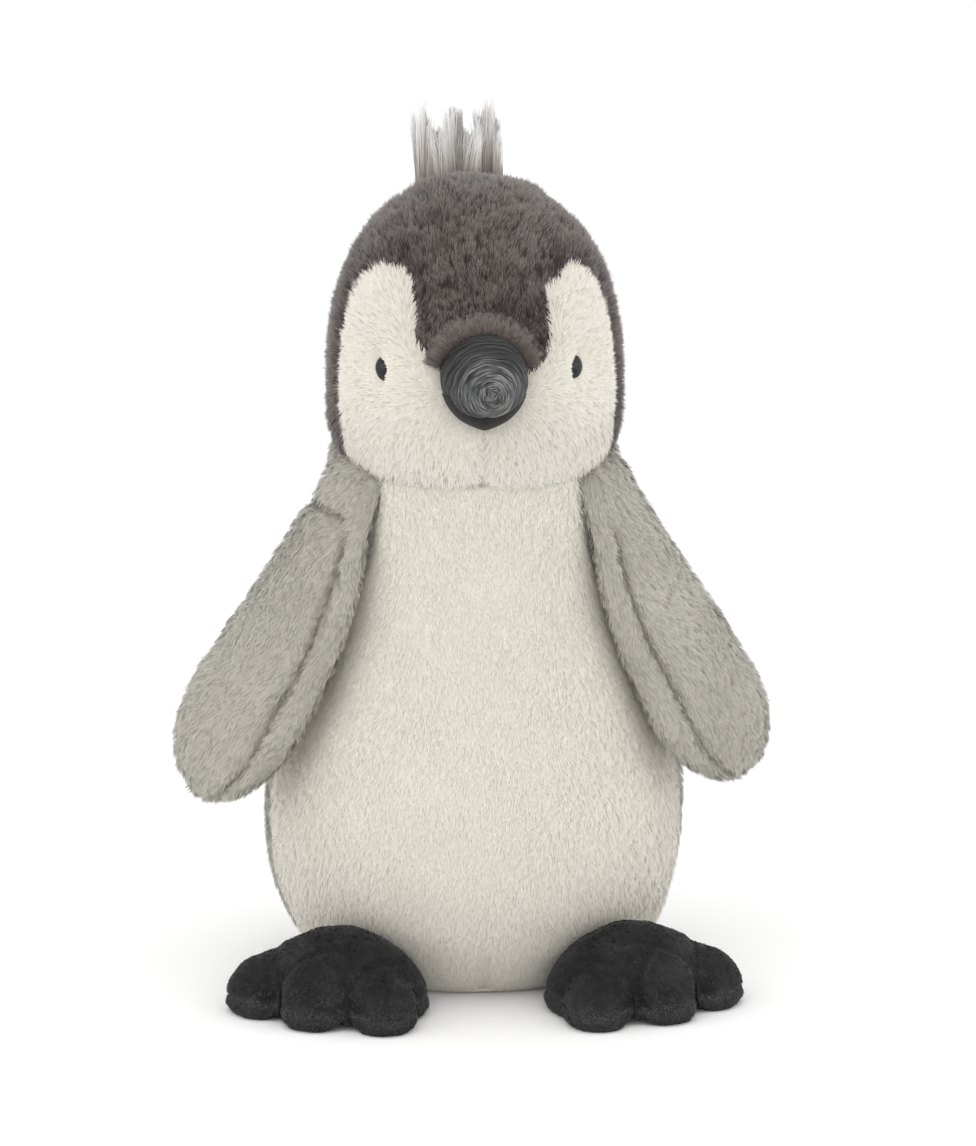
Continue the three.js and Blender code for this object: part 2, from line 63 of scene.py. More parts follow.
BACKING = 0.9  # the cloth lies this far inside the CAD's outer face, which is the pile's dense foot
CLOTH = 1.2  # thickness of each cloth panel
BODY_WIDE, BODY_DEPTH = 86.0, 0.88
BODY_WIDEST_Z, BODY_LOWER, BODY_ROUND = 68.0, 80.7, 2.5
WAIST_WIDE, WAIST_Z, SHOULDER_Z = 60.0, 182.0, 198.0
NECK_Z, NECK_TILT = 220.0, math.tan(math.radians(14))
NECK_WIDE, NECK_DEEP = 55.0, 48.5
HEAD_WIDE, HEAD_DEPTH, HEAD_Y = 59.0, 0.94, -5.0
HEAD_WIDEST_Z, HEAD_UPPER, HEAD_ROUND = 244.0, 83.0, 2.2
BELLY_SEAM = [(-35, 240), (-35, 190), (-21, 135), (-12, 80), (-8, 0)]  # (y, z) in the side view
GUSSET_WIDE = 27.5
FACE_BACK = HEAD_Y - 17
BEAK_Z, BEAK_WIDE, BEAK_HIGH, BEAK_LONG, BEAK_DROOP = 251.0, 17.0, 18.5, 33.0, 2.0
BROW_RADIUS, BROW_ROLL, BROW_SPAN = 20.5, 4.8, math.radians(74)
EYE_X, EYE_Z, EYE_R = 40.0, 254.2, 5.4
EYE_SHIFT = -0.8  # both eyes sit this far towards the toy's right
CREST_X, CREST_Y, CREST_WIDE, CREST_DEEP, CREST_TALL = -6.0, 4.0, 16.0, 5.0, 31.0
FLIPPER_LONG, FLIPPER_ROOT, FLIPPER_WIDE = 149.0, 17.0, 26.5
SHOULDER_FOLD = 0.165  # the share of the right flipper's length at which a fold crosses its shoulder
FLIPPER_TUCK = 13.0  # the part of the flipper above its seam, tucked into the shoulder
FLIPPER_ROOT_THICK, FLIPPER_THICK = 8.0, 12.0
FLIPPER_SEAM = math.radians(50)  # the front seam lies this far round onto the outer face
FOOT_HEADING, TOE_SPREAD = math.radians(28), math.radians(31)
FOOT_SEAM_Z = 6.5
FOOT_AROUND = math.radians(-49)  # where the left heel meets the body, round from +X
FLIPPER_LEAN = {1: 24.3, -1: 25.8}  # degrees out from upright; the right one hangs a little wider
FLIPPER_BOW, FLIPPER_BOW_AT, FLIPPER_BOW_SPAN = 4.0, 0.38, 0.28  # how far it bows in, and where along it
FLIPPER_INSET, FLIPPER_TWIST = 0.8, math.radians(22)
BEND_FROM, BEND_TO = 8.0, 42.0  # the part of the flipper, below its root, that bends when it lifts
CREST_LOCKS, CREST_STRANDS, CREST_STEPS = 46, 100, 6  # locks, strands in a lock, blades in a strand
CREST_TUFTS = ((-0.9, 0.36), (-0.1, 0.34), (0.68, 0.42))  # where across the crest, and how much taller
LABEL_THICK, LABEL_CURL, LABEL_SAG = 0.25, 1.6, 0.8


# ---- small maths

def super_round(share, n):
    return (1 - np.clip(np.abs(share), 0, 1) ** n) ** (1 / n)


def smoothstep(x, start, end):
    t = np.clip((x - start) / (end - start), 0, 1)
    return t * t * (3 - 2 * t)


def unit(v):
    return v / np.maximum(np.linalg.norm(v, axis=-1, keepdims=True), 1e-9)


def ring_turns(count):
    """Even turns all the way round, without the last, which is the first again."""
    return np.linspace(0, math.tau, count, endpoint=False)


def bell(distance, width):
    return np.exp(-((distance / width) ** 2))


def wobble(points, size, seed):
    """Smooth noise from about -1 to 1 over points (..., 3), with features about size across."""
    rng = np.random.default_rng(seed)
    total = np.zeros(points.shape[:-1])
    for _ in range(7):
        direction = unit(rng.normal(size=3)) * rng.uniform(0.6, 1.6) * math.tau / size / 2
        total += np.sin(points @ direction + rng.uniform(0, math.tau))
    return total / 2.6


def catmull(points, count):
    """A smooth curve through points, as count points for each span."""
    p = np.array(points, float)
    p = np.vstack([2 * p[0] - p[1], p, 2 * p[-1] - p[-2]])
    t = np.linspace(0, 1, count, endpoint=False)[:, None]
    spans = []
    for a, b, c, d in zip(p, p[1:], p[2:], p[3:]):
        cubic = (3 * b - a - 3 * c + d) * t ** 3
        spans.append(0.5 * (2 * b + (c - a) * t + (2 * a - 5 * b + 4 * c - d) * t ** 2 + cubic))
    return np.vstack(spans + [p[-2:-1]])


def bezier(points, count):
    """Points along a Bezier curve with any number of control points, without its first point."""
    t = np.linspace(0, 1, count + 1)[1:, None]
    n = len(points) - 1
    weights = [math.comb(n, i) * t ** i * (1 - t) ** (n - i) for i in range(n + 1)]
    return sum(weight * np.array(p, float) for weight, p in zip(weights, points))


# ---- skins: cloth as arrays

class Skin:
    """A cloth surface: v holds points in mm, f quads that face outwards, n the points' normals."""

    def __init__(self, v, f):
        self.v, self.f = np.asarray(v, float), np.asarray(f, int)
        self.n = self.normals()

    def normals(self):
        a, b, c, d = (self.v[self.f[:, i]] for i in range(4))
        face = np.cross(c - a, d - b)
        n = np.zeros_like(self.v)
        for i in range(4):
            np.add.at(n, self.f[:, i], face)
        return unit(n)

    def press(self, depth):
        """Moves every point inwards by depth, one value for each point."""
        self.v = self.v - self.n * np.asarray(depth)[:, None]
        self.n = self.normals()
        return self


def grid_faces(rows, columns, wrap=False):
    r, c = np.meshgrid(np.arange(rows - 1), np.arange(columns if wrap else columns - 1), indexing="ij")
    nxt = (c + 1) % columns
    quad = [r * columns + c, r * columns + nxt, (r + 1) * columns + nxt, (r + 1) * columns + c]
    return np.stack([q.ravel() for q in quad], axis=1)


def grid_skin(points, wrap=False, flip=False):
    rows, columns = points.shape[:2]
    f = grid_faces(rows, columns, wrap)
    return Skin(points.reshape(-1, 3), f[:, ::-1] if flip else f)


def facing_out(skin, centre):
    """The skin, with its faces turned over if they look towards centre, one point or one for each."""
    if np.mean(np.sum(skin.n * (skin.v - centre), axis=1)) < 0:
        return Skin(skin.v, skin.f[:, ::-1])
    return skin


def sub_skin(skin, keep):
    """The faces of a skin that keep marks, with only the points they use."""
    f = skin.f[keep]
    used, f = np.unique(f, return_inverse=True)
    part = Skin(skin.v[used], f.reshape(-1, 4))
    part.n = skin.n[used]
    return part


# ---- Blender objects

def to_frame(points):
    return (np.asarray(points, float) + (0, AXIS_Y, 0)) * MM


def new_object(name, data):
    obj = bpy.data.objects.new(name, data)
    bpy.context.scene.collection.objects.link(obj)
    return obj


def new_mesh(name, v, faces):
    mesh = bpy.data.meshes.new(name)
    mesh.from_pydata(to_frame(v).tolist(), [], [list(map(int, f)) for f in faces])
    mesh.shade_smooth()
    return new_object(name, mesh)


def apply_modifiers(obj):
    bpy.context.view_layer.update()
    depsgraph = bpy.context.evaluated_depsgraph_get()
    mesh = bpy.data.meshes.new_from_object(obj.evaluated_get(depsgraph))
    obj.modifiers.clear()
    old, obj.data = obj.data, mesh
    bpy.data.meshes.remove(old)
    mesh.shade_smooth()
    return obj


def remeshed(obj, voxel, rounds):
    """Turns a mesh into one even skin and smooths it, and gives its points and their normals."""
    remesh = obj.modifiers.new("remesh", "REMESH")
    remesh.mode, remesh.voxel_size = "VOXEL", voxel
    smooth = obj.modifiers.new("smooth", "SMOOTH")
    smooth.factor, smooth.iterations = 0.5, rounds
    apply_modifiers(obj)
    v, n = (np.empty(len(obj.data.vertices) * 3) for _ in range(2))
    obj.data.vertices.foreach_get("co", v)
    obj.data.vertices.foreach_get("normal", n)
    return v.reshape(-1, 3), n.reshape(-1, 3)


def cloth_piece(name, skin, thickness=CLOTH):
    """A skin as a closed piece of cloth: its outer face is the skin and its edge is turned in."""
    obj = new_mesh(name, skin.v, skin.f)
    solid = obj.modifiers.new("cloth", "SOLIDIFY")
    solid.thickness = thickness * MM
    solid.offset = -1
    return apply_modifiers(obj)


def finish_piece(obj, material, body, replaced=(), bend=None):
    """Gives a piece its material, hides the CAD parts it replaces, and hangs it from its body, or, when it
    bends, bakes its place into its mesh.
    """
    obj.data.materials.clear()
    obj.data.materials.append(material)
    if replaced:
        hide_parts(*replaced)
    if bend:
        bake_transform(obj)
    else:
        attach(obj, body)
    return obj


# ---- materials

def linear(red, green, blue):
    """A colour given as it looks on a screen, 0 to 255, as the linear values that shaders take."""
    c = np.array([red, green, blue]) / 255
    return tuple(np.where(c <= 0.04045, c / 12.92, ((c + 0.055) / 1.055) ** 2.4)) + (1,)


class Nodes:
    """A short way to lay out one material's nodes."""

    def __init__(self, name, roughness, specular=0.3, sheen=0.0, sheen_rough=0.5):
        self.material = bpy.data.materials.new(name)
        self.material.use_nodes = True
        self.tree = self.material.node_tree
        self.shader = self.tree.nodes["Principled BSDF"]
        self.shader.inputs["Roughness"].default_value = roughness
        self.shader.inputs["Specular IOR Level"].default_value = specular
        self.shader.inputs["Sheen Weight"].default_value = sheen
        self.shader.inputs["Sheen Roughness"].default_value = sheen_rough

    def add(self, kind, *feeds, **values):
        """A new node: feeds go to its inputs in order, and values to its settings or inputs by name."""
        node = self.tree.nodes.new("ShaderNode" + kind)
        for value, socket in zip(feeds, node.inputs):
            self.link(value, socket)
        for key, value in values.items():
            if hasattr(node, key):
                setattr(node, key, value)
            else:
                self.link(value, node.inputs[key.replace("_", " ")])
        return node

    def link(self, value, socket):
        """Feeds an input from another node's output, or sets it to a plain value."""
        if isinstance(value, bpy.types.NodeSocket):
            self.tree.links.new(value, socket)
        else:
            socket.default_value = value

    def noise(self, where, scale, detail=3.0, roughness=0.55, distortion=0.0):
        node = self.add("TexNoise", Vector=where, Scale=scale, Detail=detail, Roughness=roughness,
                        Distortion=distortion)
        return node.outputs["Fac"]

    def ramp(self, fac, stops):
        node = self.add("ValToRGB", Fac=fac)
        elements = node.color_ramp.elements
        while len(elements) < len(stops):
            elements.new(0.5)
        for element, (position, colour) in zip(elements, stops):
            element.position, element.color = position, colour
        return node.outputs["Color"]

    def mix(self, fac, a, b, blend="MIX"):
        node = self.add("Mix", data_type="RGBA", blend_type=blend)
        for value, k in ((fac, 0), (a, 6), (b, 7)):
            self.link(value, node.inputs[k])
        return node.outputs[2]

    def bump(self, height, strength, distance):
        node = self.add("Bump", Height=height, Strength=strength, Distance=distance)
        self.link(node.outputs["Normal"], self.shader.inputs["Normal"])

    def colour(self, socket):
        self.link(socket, self.shader.inputs["Base Color"])
        return self.material


FUR_UV = "OFBake"  # V runs along a strand, and U is the strand's shade, dark to light


def fur_material(name, root, middle, tip, darker, roughness=0.75, sheen=0.15):
    """Pile: each strand runs from its root's colour to its tip's, and strands differ a little. The darker
    roots are painted shade deep in the pile, and the crown's paler tips are its own tone and painted
    highlight.
    """
    m = Nodes(name, roughness, specular=0.12, sheen=sheen)
    uv = m.add("UVMap", uv_map=FUR_UV)
    split = m.add("SeparateXYZ", uv.outputs["UV"])
    along = m.ramp(split.outputs["Y"], [(0.0, linear(*root)), (0.45, linear(*middle)), (1.0, linear(*tip))])
    shade = m.ramp(split.outputs["X"], [(0.0, linear(*darker)), (0.85, (1, 1, 1, 1))])
    return m.colour(m.mix(1.0, along, shade, "MULTIPLY"))


def cloth_material(name, colour, second, knit=900.0, roughness=0.9, strength=0.3):
    """The knitted backing under the pile: fine loops and soft patches of a second colour."""
    m = Nodes(name, roughness, specular=0.1, sheen=0.1)
    where = m.add("TexCoord").outputs["Object"]
    patches = m.noise(where, 35.0)
    loops = m.add("TexVoronoi", Vector=where, Scale=knit)
    m.bump(loops.outputs["Distance"], strength, 0.0003)
    return m.colour(m.ramp(patches, [(0.3, linear(*colour)), (0.75, linear(*second))]))


CREAM_FUR = fur_material("cream_pile", (218, 214, 202), (226, 222, 212), (233, 230, 222), (247, 246, 244))
GREY_FUR = fur_material("grey_pile", (165, 162, 152), (186, 183, 173), (203, 200, 191), (172, 170, 166))
CROWN_FUR = fur_material("crown_pile", (56, 50, 48), (88, 80, 77), (148, 138, 132), (140, 137, 135),
                         sheen=0.25)
BROW_FUR = fur_material("brow_pile", (92, 85, 82), (112, 104, 100), (138, 129, 124), (206, 204, 202))
BROW_CLOTH = cloth_material("brow_backing", (92, 85, 82), (80, 73, 71))
# the crest's near-black roots are painted shade where its locks crowd together at their foot
CREST_FUR = fur_material("crest_pile", (44, 39, 36), (176, 171, 164), (246, 245, 244), (212, 209, 205),
                         sheen=0.2)
NAP = fur_material("foot_nap", (22, 22, 23), (36, 36, 37), (134, 134, 135), (70, 70, 70), sheen=0.05)
# the cream backing is a little darker than its pile: painted shade that the pile, which casts none, would
# lay on it
CREAM_CLOTH = cloth_material("cream_backing", (208, 204, 193), (204, 200, 188))
GREY_CLOTH = cloth_material("grey_backing", (166, 163, 153), (161, 158, 148))
CROWN_CLOTH = cloth_material("crown_backing", (74, 67, 64), (60, 54, 52))
FIBRE = cloth_material("fibre_fill", (242, 242, 238), (224, 224, 220), knit=260.0, strength=0.8)
LINING = cloth_material("lining_cloth", (217, 212, 199), (204, 199, 186), knit=1400.0, strength=0.5)
SATIN = cloth_material("satin_ribbon", (246, 246, 242), (236, 236, 231), knit=2400.0, roughness=0.45,
                       strength=0.2)
THREAD = cloth_material("black_thread", (26, 26, 26), (40, 40, 40), knit=1800.0, strength=0.6)


def suede_material():
    """Short black nap on the feet: brushed patches, pale rubbed nap on raised edges, fine grain."""
    m = Nodes("charcoal_suede", 0.85, specular=0.08, sheen=0.1, sheen_rough=0.35)
    where = m.add("TexCoord").outputs["Object"]
    brushed = m.noise(where, 60.0, 4.0, 0.6, 0.6)
    grain = m.noise(where, 1500.0, 2.0, 0.7)
    base = m.ramp(brushed, [(0.3, linear(25, 25, 26)), (0.55, linear(34, 34, 35)),
                            (0.8, linear(54, 54, 55))])
    edge = m.add("NewGeometry").outputs["Pointiness"]
    worn = m.ramp(edge, [(0.5, (0, 0, 0, 1)), (0.62, (1, 1, 1, 1))])
    speck = m.ramp(grain, [(0.45, (0.1, 0.1, 0.1, 1)), (0.75, (1, 1, 1, 1))])
    rubbed = m.mix(m.mix(1.0, worn, speck, "MULTIPLY"), base, linear(104, 104, 104))
    m.bump(grain, 0.5, 0.0004)
    return m.colour(rubbed)


def beak_material(name, dark, mid, light, shaded_rim_dark, shaded_rim_light):
    """Brushed suede: the nap lies in fine broken rings about the beak's tip, darker at the rim, which is
    painted shade where the beak meets the head.
    """
    m = Nodes(name, 0.75, specular=0.1, sheen=0.06, sheen_rough=0.4)
    where = m.add("TexCoord").outputs["Object"]
    tip = tuple(to_frame((1.0, -AXIS_Y, BEAK_Z - 2.0)))
    shift = m.add("VectorMath", where, tip, operation="SUBTRACT")
    split = m.add("SeparateXYZ", shift.outputs[0])
    flat = m.add("CombineXYZ", split.outputs["X"], split.outputs["Z"]).outputs[0]
    reach = m.add("VectorMath", flat, operation="LENGTH").outputs["Value"]
    around = m.add("SeparateXYZ", m.add("VectorMath", flat, operation="NORMALIZE").outputs[0])
    wavy = m.noise(where, 90.0, 2.0)
    bent = m.add("Math", wavy, 0.0022, reach, operation="MULTIPLY_ADD")
    far = m.add("Math", bent.outputs[0], 2300.0, operation="MULTIPLY")
    rings = m.add("CombineXYZ", around.outputs["X"], around.outputs["Y"], far.outputs[0])
    streaks = m.noise(rings.outputs[0], 1.0, 3.0, 0.65)
    rim = m.add("MapRange", interpolation_type="SMOOTHSTEP", Value=reach, From_Min=0.0095, From_Max=0.016,
                To_Min=1.0, To_Max=0.0)
    lit = m.ramp(streaks, [(0.36, linear(*dark)), (0.5, linear(*mid)), (0.64, linear(*light))])
    # painted shade: the rim's darker colours stand for the shade where the beak meets the head
    shaded_rim = m.ramp(streaks, [(0.38, linear(*shaded_rim_dark)), (0.64, linear(*shaded_rim_light))])
    m.bump(streaks, 0.18, 0.0004)
    return m.colour(m.mix(rim.outputs["Result"], shaded_rim, lit))


def hard_material(name, roughness, specular, size, relief, dark, light):
    """Moulded plastic: a faint haze in its colour and surface."""
    m = Nodes(name, roughness, specular=specular)
    haze = m.noise(m.add("TexCoord").outputs["Object"], size, 2.0)
    m.bump(haze, *relief)
    return m.colour(m.ramp(haze, [(0.3, linear(*dark)), (0.8, linear(*light))]))


SUEDE = suede_material()
BEAK_UPPER = beak_material("beak_suede", (34, 34, 35), (72, 72, 73), (136, 136, 136), (20, 20, 21),
                           (70, 70, 70))
# the lower panel's darker suede is painted shade of the beak's underside
BEAK_LOWER_SHADED = beak_material("beak_lower_shaded_suede", (24, 22, 22), (32, 30, 30), (48, 45, 44), (22, 21, 21),
                           (48, 45, 44))
EYE_BLACK = hard_material("eye_plastic", 0.12, 0.35, 700.0, (0.03, 0.0001), (3, 3, 3), (8, 8, 8))
NYLON = hard_material("washer_nylon", 0.45, 0.4, 400.0, (0.1, 0.0002), (226, 226, 220), (238, 238, 233))

# the cloth and fur of each fabric, its slot, its cloth's thickness, and what its two pieces' names end in
FABRICS = {
    "cream": (CREAM_CLOTH, CREAM_FUR, "cream_plush", CLOTH, "_cloth", "_pile"),
    "grey": (GREY_CLOTH, GREY_FUR, "grey_plush", CLOTH, "_cloth", "_pile"),
    "crown": (CROWN_CLOTH, CROWN_FUR, "crown_plush", CLOTH, "_cloth", "_pile"),
    "brow": (BROW_CLOTH, BROW_FUR, "crown_plush", 0.8, "_cloth", "_pile"),
    "nap": (SUEDE, NAP, "charcoal_suede", 1.0, "_suede", "_nap"),
}


# ---- pile

SHADES = 32  # cells across the fur's map
FUR_LIMIT = 60000  # strands in one piece
FUR_FLOOR = 0.35  # no strand reaches lower than this


def scatter(skin, per_mm2, rng):
    """Random spots over a skin, and the skin's normals there."""
    quads = skin.f
    tris = np.vstack([quads[:, [0, 1, 2]], quads[:, [0, 2, 3]]])
    a, b, c = (skin.v[tris[:, i]] for i in range(3))
    area = np.linalg.norm(np.cross(b - a, c - a), axis=1) / 2
    count = int(area.sum() * per_mm2)
    picked = rng.choice(len(tris), count, p=area / area.sum())
    r1, r2 = np.sqrt(rng.random(count)), rng.random(count)
    weights = np.stack([1 - r1, r1 * (1 - r2), r1 * r2], axis=1)
    corners = tris[picked]
    spot = np.einsum("ij,ijk->ik", weights, skin.v[corners])
    normal = unit(np.einsum("ij,ijk->ik", weights, skin.n[corners]))
    return spot, normal


def strands(spot, normal, flow, length, shade, look, rng):
    """Pile growing in small locks: roots, bends, tips, side vectors and shades of every strand."""
    count, each = len(spot), look["each"]
    flow = unit(flow - normal * np.sum(flow * normal, axis=1, keepdims=True))
    across = np.cross(normal, flow)
    lean = look["lean"] + rng.normal(0, 0.12, count)
    aim = normal * np.cos(lean)[:, None] + flow * np.sin(lean)[:, None]
    aim = unit(aim + across * rng.normal(0, look["stray"], count)[:, None])
    repeat = lambda x: np.repeat(x, each, axis=0)
    lock_tip = repeat(spot + aim * length[:, None])
    total = count * each
    radius = look["spread"] * np.sqrt(rng.random(total))
    turn = rng.random(total) * math.tau
    normal, flow, across, aim = repeat(normal), repeat(flow), repeat(across), repeat(aim)
    offset = flow * (radius * np.cos(turn))[:, None] + across * (radius * np.sin(turn))[:, None]
    size = repeat(length) * rng.uniform(0.72, 1.12, total)
    root = repeat(spot) + offset - normal * 0.4
    own_tip = root + unit(aim + rng.normal(0, look["stray"] * 0.7, (total, 3))) * size[:, None]
    tip = own_tip + (lock_tip - own_tip) * look["clump"]
    bend = root * 0.5 + tip * 0.5 + normal * (size * look["arch"])[:, None]
    along = unit(tip - root)
    side = unit(np.cross(along, normal) + 1e-6)
    roll = rng.normal(0, look["roll"], total)[:, None]
    side = unit(side * np.cos(roll) + np.cross(along, side) * np.sin(roll))
    soft = unit(normal + look["relief"] * (side * rng.normal(0, 1, total)[:, None] + aim * 0.5))
    shade = np.clip(repeat(shade) + rng.normal(0, look["mottle"], total), 0, 0.999)
    return root, bend, tip, side, soft, shade


def shade_cells(shade):
    """The left and right edges of each strand's own cell in the fur's map."""
    cell = np.floor(shade * SHADES) / SHADES  # a strand stays clear of its cell's two edges
    return cell + 0.15 / SHADES, cell + 0.85 / SHADES


def fur_pieces(name, data, width, material, body, bend=None):
    """Makes the strands as tapering blades, in pieces small enough to keep every blade."""
    total = len(data[0])
    pieces = max(1, math.ceil(total / FUR_LIMIT))
    for k, part in enumerate(np.array_split(np.arange(total), pieces)):
        root, middle, tip, side, soft, shade = (x[part] for x in data)
        n = len(part)
        half = side * (width / 2)  # each blade is a quad from root to bend, and a triangle to the tip
        v = np.stack([root - half, root + half, middle - half * 0.85, middle + half * 0.85, tip], axis=1)
        v = v.reshape(-1, 3)
        v[:, 2] = np.maximum(v[:, 2], FUR_FLOOR)
        first = np.arange(n)[:, None] * 5
        loops = (first + np.array([0, 1, 3, 2, 2, 3, 4])).ravel()
        mesh = bpy.data.meshes.new(name)
        mesh.vertices.add(5 * n)
        mesh.vertices.foreach_set("co", to_frame(v).astype(np.float32).ravel())
        mesh.loops.add(7 * n)
        mesh.loops.foreach_set("vertex_index", loops.astype(np.int32))
        mesh.polygons.add(2 * n)
        starts = (np.arange(n)[:, None] * 7 + np.array([0, 4])).ravel()
        mesh.polygons.foreach_set("loop_start", starts.astype(np.int32))
        mesh.update(calc_edges=True)
        inner, outer = shade_cells(shade)
        u = np.stack([inner, outer, outer, inner, inner, outer, (inner + outer) / 2], axis=1)
        w = np.tile([0.02, 0.02, 0.5, 0.5, 0.5, 0.5, 0.98], (n, 1))
        layer = mesh.uv_layers.new(name=FUR_UV)
        layer.data.foreach_set("uv", np.stack([u, w], axis=2).astype(np.float32).ravel())
        mesh.shade_smooth()
        mesh.normals_split_custom_set_from_vertices(np.repeat(soft, 5, axis=0))
        label = name if pieces == 1 else f"{name}_{k + 1}"
        obj = new_object(label, mesh)
        obj.visible_shadow = False  # pile this fine passes light on; the cloth under it casts the shadow
        finish_piece(obj, material, body, bend=bend)


PILE = {
    "cream": dict(length=3.7, lean=1.02, stray=0.12, spread=1.0, each=4, clump=0.05, arch=0.1, roll=0.25,
                  relief=0.04, mottle=0.14, width=0.25, density=0.8, patchy=0.1),
    "grey": dict(length=3.9, lean=1.1, stray=0.12, spread=1.5, each=10, clump=0.14, arch=0.1, roll=0.3,
                 relief=0.07, mottle=0.1, width=0.27, density=0.32, patchy=0.25),
    "crown": dict(length=5.4, lean=1.0, stray=0.18, spread=1.3, each=10, clump=0.2, arch=0.12, roll=0.35,
                  relief=0.17, mottle=0.3, width=0.25, density=0.4, patchy=1.1),
    "brow": dict(length=4.2, lean=1.15, stray=0.07, spread=1.0, each=9, clump=0.12, arch=0.06, roll=0.25,
                 relief=0.1, mottle=0.16, width=0.22, density=0.7, patchy=0.2),
    "nap": dict(length=1.0, lean=0.75, stray=0.3, spread=1.0, each=9, clump=0.15, arch=0.1, roll=0.4,
                relief=0.2, mottle=0.2, width=0.22, density=0.36, patchy=0.6),
}


def grow(name, skin, kind, flow, body, bend=None, seed=0, length=None, density=1.0, keep=None, tint=None):
    """Covers a skin with pile; flow, length, keep and tint are functions of the spots and their normals."""
    look = PILE[kind]
    _, fur, slot, _, _, ending = FABRICS[kind]
    rng = np.random.default_rng(seed)
    spot, normal = scatter(skin, look["density"] * density, rng)
    if keep is not None:
        chosen = keep(spot, normal)
        spot, normal = spot[chosen], normal[chosen]
    size = np.full(len(spot), look["length"]) if length is None else length(spot, normal)
    size = size * (1 + 0.08 * wobble(spot, 22, seed + 1))
    shade = 0.62 + look["patchy"] * (0.2 * wobble(spot, 24, seed + 2) + 0.16 * wobble(spot, 8, seed + 3))
    # each panel's own tone, rubbed wear, and painted shade and highlight shift the strands' shades here
    if tint is not None:
        shade = shade + tint(spot, normal)
    data = strands(spot, normal, flow(spot, normal), size, shade, look, rng)
    fur_pieces(name + ending, data, look["width"], fur, body, bend)


def plush_panel(name, node, skin, kind, flow, body, fill, bend=None, seed=0, **more):
    """One fabric panel of the toy: its padded cloth, which stands for the CAD node, and its pile."""
    cloth, _, slot, thickness, ending, _ = FABRICS[kind]
    obj = cloth_piece(name + ending, skin, thickness)
    finish_piece(obj, cloth, body, (node,), bend)
    grow(name, skin, kind, flow, body, bend, seed, **more)


def swayed(way, normal, spot, much, size, seed, up=(0, 0, 1.0)):
    """A way for pile to lie, swung a little to each side in soft waves of about size."""
    return np.array(way) + np.cross(normal, up) * (wobble(spot, size, seed) * much)[:, None]


# ---- where the neck bends

def neck_point(height):
    """A point on the neck's axis, height above the neck seam, in the frame."""
    tilt = math.atan(NECK_TILT)
    return tuple(to_frame((0, -math.sin(tilt) * height, NECK_Z + math.cos(tilt) * height)))


BODY_BEND = ("torso", "neck", neck_point(-24), neck_point(-1))
HEAD_BEND = ("neck", "head", neck_point(1), neck_point(26))


# ---- body

SEAM_CURVE = catmull(BELLY_SEAM, 24)[::-1]


def body_half_width(z):
    lower = BODY_WIDE * super_round((BODY_WIDEST_Z - z) / BODY_LOWER, BODY_ROUND)
    flank = BODY_WIDE + (WAIST_WIDE - BODY_WIDE) * smoothstep(z, BODY_WIDEST_Z, WAIST_Z)
    return np.where(z < BODY_WIDEST_Z, lower, flank)


def body_rows():
    """Half-width, half-depth, height and share of the neck's tilt of each ring from the base up."""
    z = np.concatenate([1.6 + 66.4 * np.linspace(0, 1, 34) ** 1.5, np.linspace(68, SHOULDER_Z, 70)[1:]])
    wide = body_half_width(z) - BACKING
    deep = body_half_width(z) * BODY_DEPTH - BACKING
    roll = np.linspace(0, math.pi / 2, 20)[1:]
    wide = np.concatenate([wide, NECK_WIDE + (wide[-1] - NECK_WIDE) * np.cos(roll) ** 0.8])
    deep = np.concatenate([deep, NECK_DEEP + (deep[-1] - NECK_DEEP) * np.cos(roll) ** 0.8])
    tilt = np.concatenate([np.zeros(len(z)), np.sin(roll) ** 2])
    z = np.concatenate([z, SHOULDER_Z + (NECK_Z - SHOULDER_Z) * np.sin(roll)])
    # the seam's turned-in edge runs on up inside the head
    tuck = lambda ring, change: np.append(ring, ring[-1] + change)
    return tuck(wide, -2.5), tuck(deep, -2.5), tuck(z, 3.0), tuck(tilt, 0)


def body_panel(start, end, columns):
    """A strip of the body between two turns round it, one pair of turns for each ring."""
    wide, deep, z, tilt = (x[:, None] for x in body_rows())
    turn = start[:, None] + (end - start)[:, None] * np.linspace(0, 1, columns)[None, :]
    x, y = wide * np.cos(turn), deep * np.sin(turn)
    points = np.stack([x, y, z + NECK_TILT * y * tilt], axis=2)
    skin = grid_skin(points)
    inset = np.minimum(turn - start[:, None], end[:, None] - turn) * wide
    seam = 1.6 * bell(inset, 3.5)  # how deep the seam sinks, and how wide
    lumps = 0.5 * wobble(points, 45, 5) + 0.25 * wobble(points, 18, 6)
    return skin.press((seam - lumps * smoothstep(z, 4, 30)).ravel())


def seam_turns():
    _, deep, z, _ = body_rows()
    y = np.interp(z, SEAM_CURVE[:, 1], SEAM_CURVE[:, 0])
    return np.arcsin(np.clip(y / deep, -1, 1))


def downwards(spot, normal):
    return swayed([0, 0, -1.0], normal, spot, 0.18, 40, 11)


def shorter_below(kind, least):
    """Body pile is a little shorter where it turns under, and it stops at the base."""
    rest = 1 - least
    return lambda spot, normal: PILE[kind]["length"] * (least + rest * smoothstep(spot[:, 2], 2, 22))


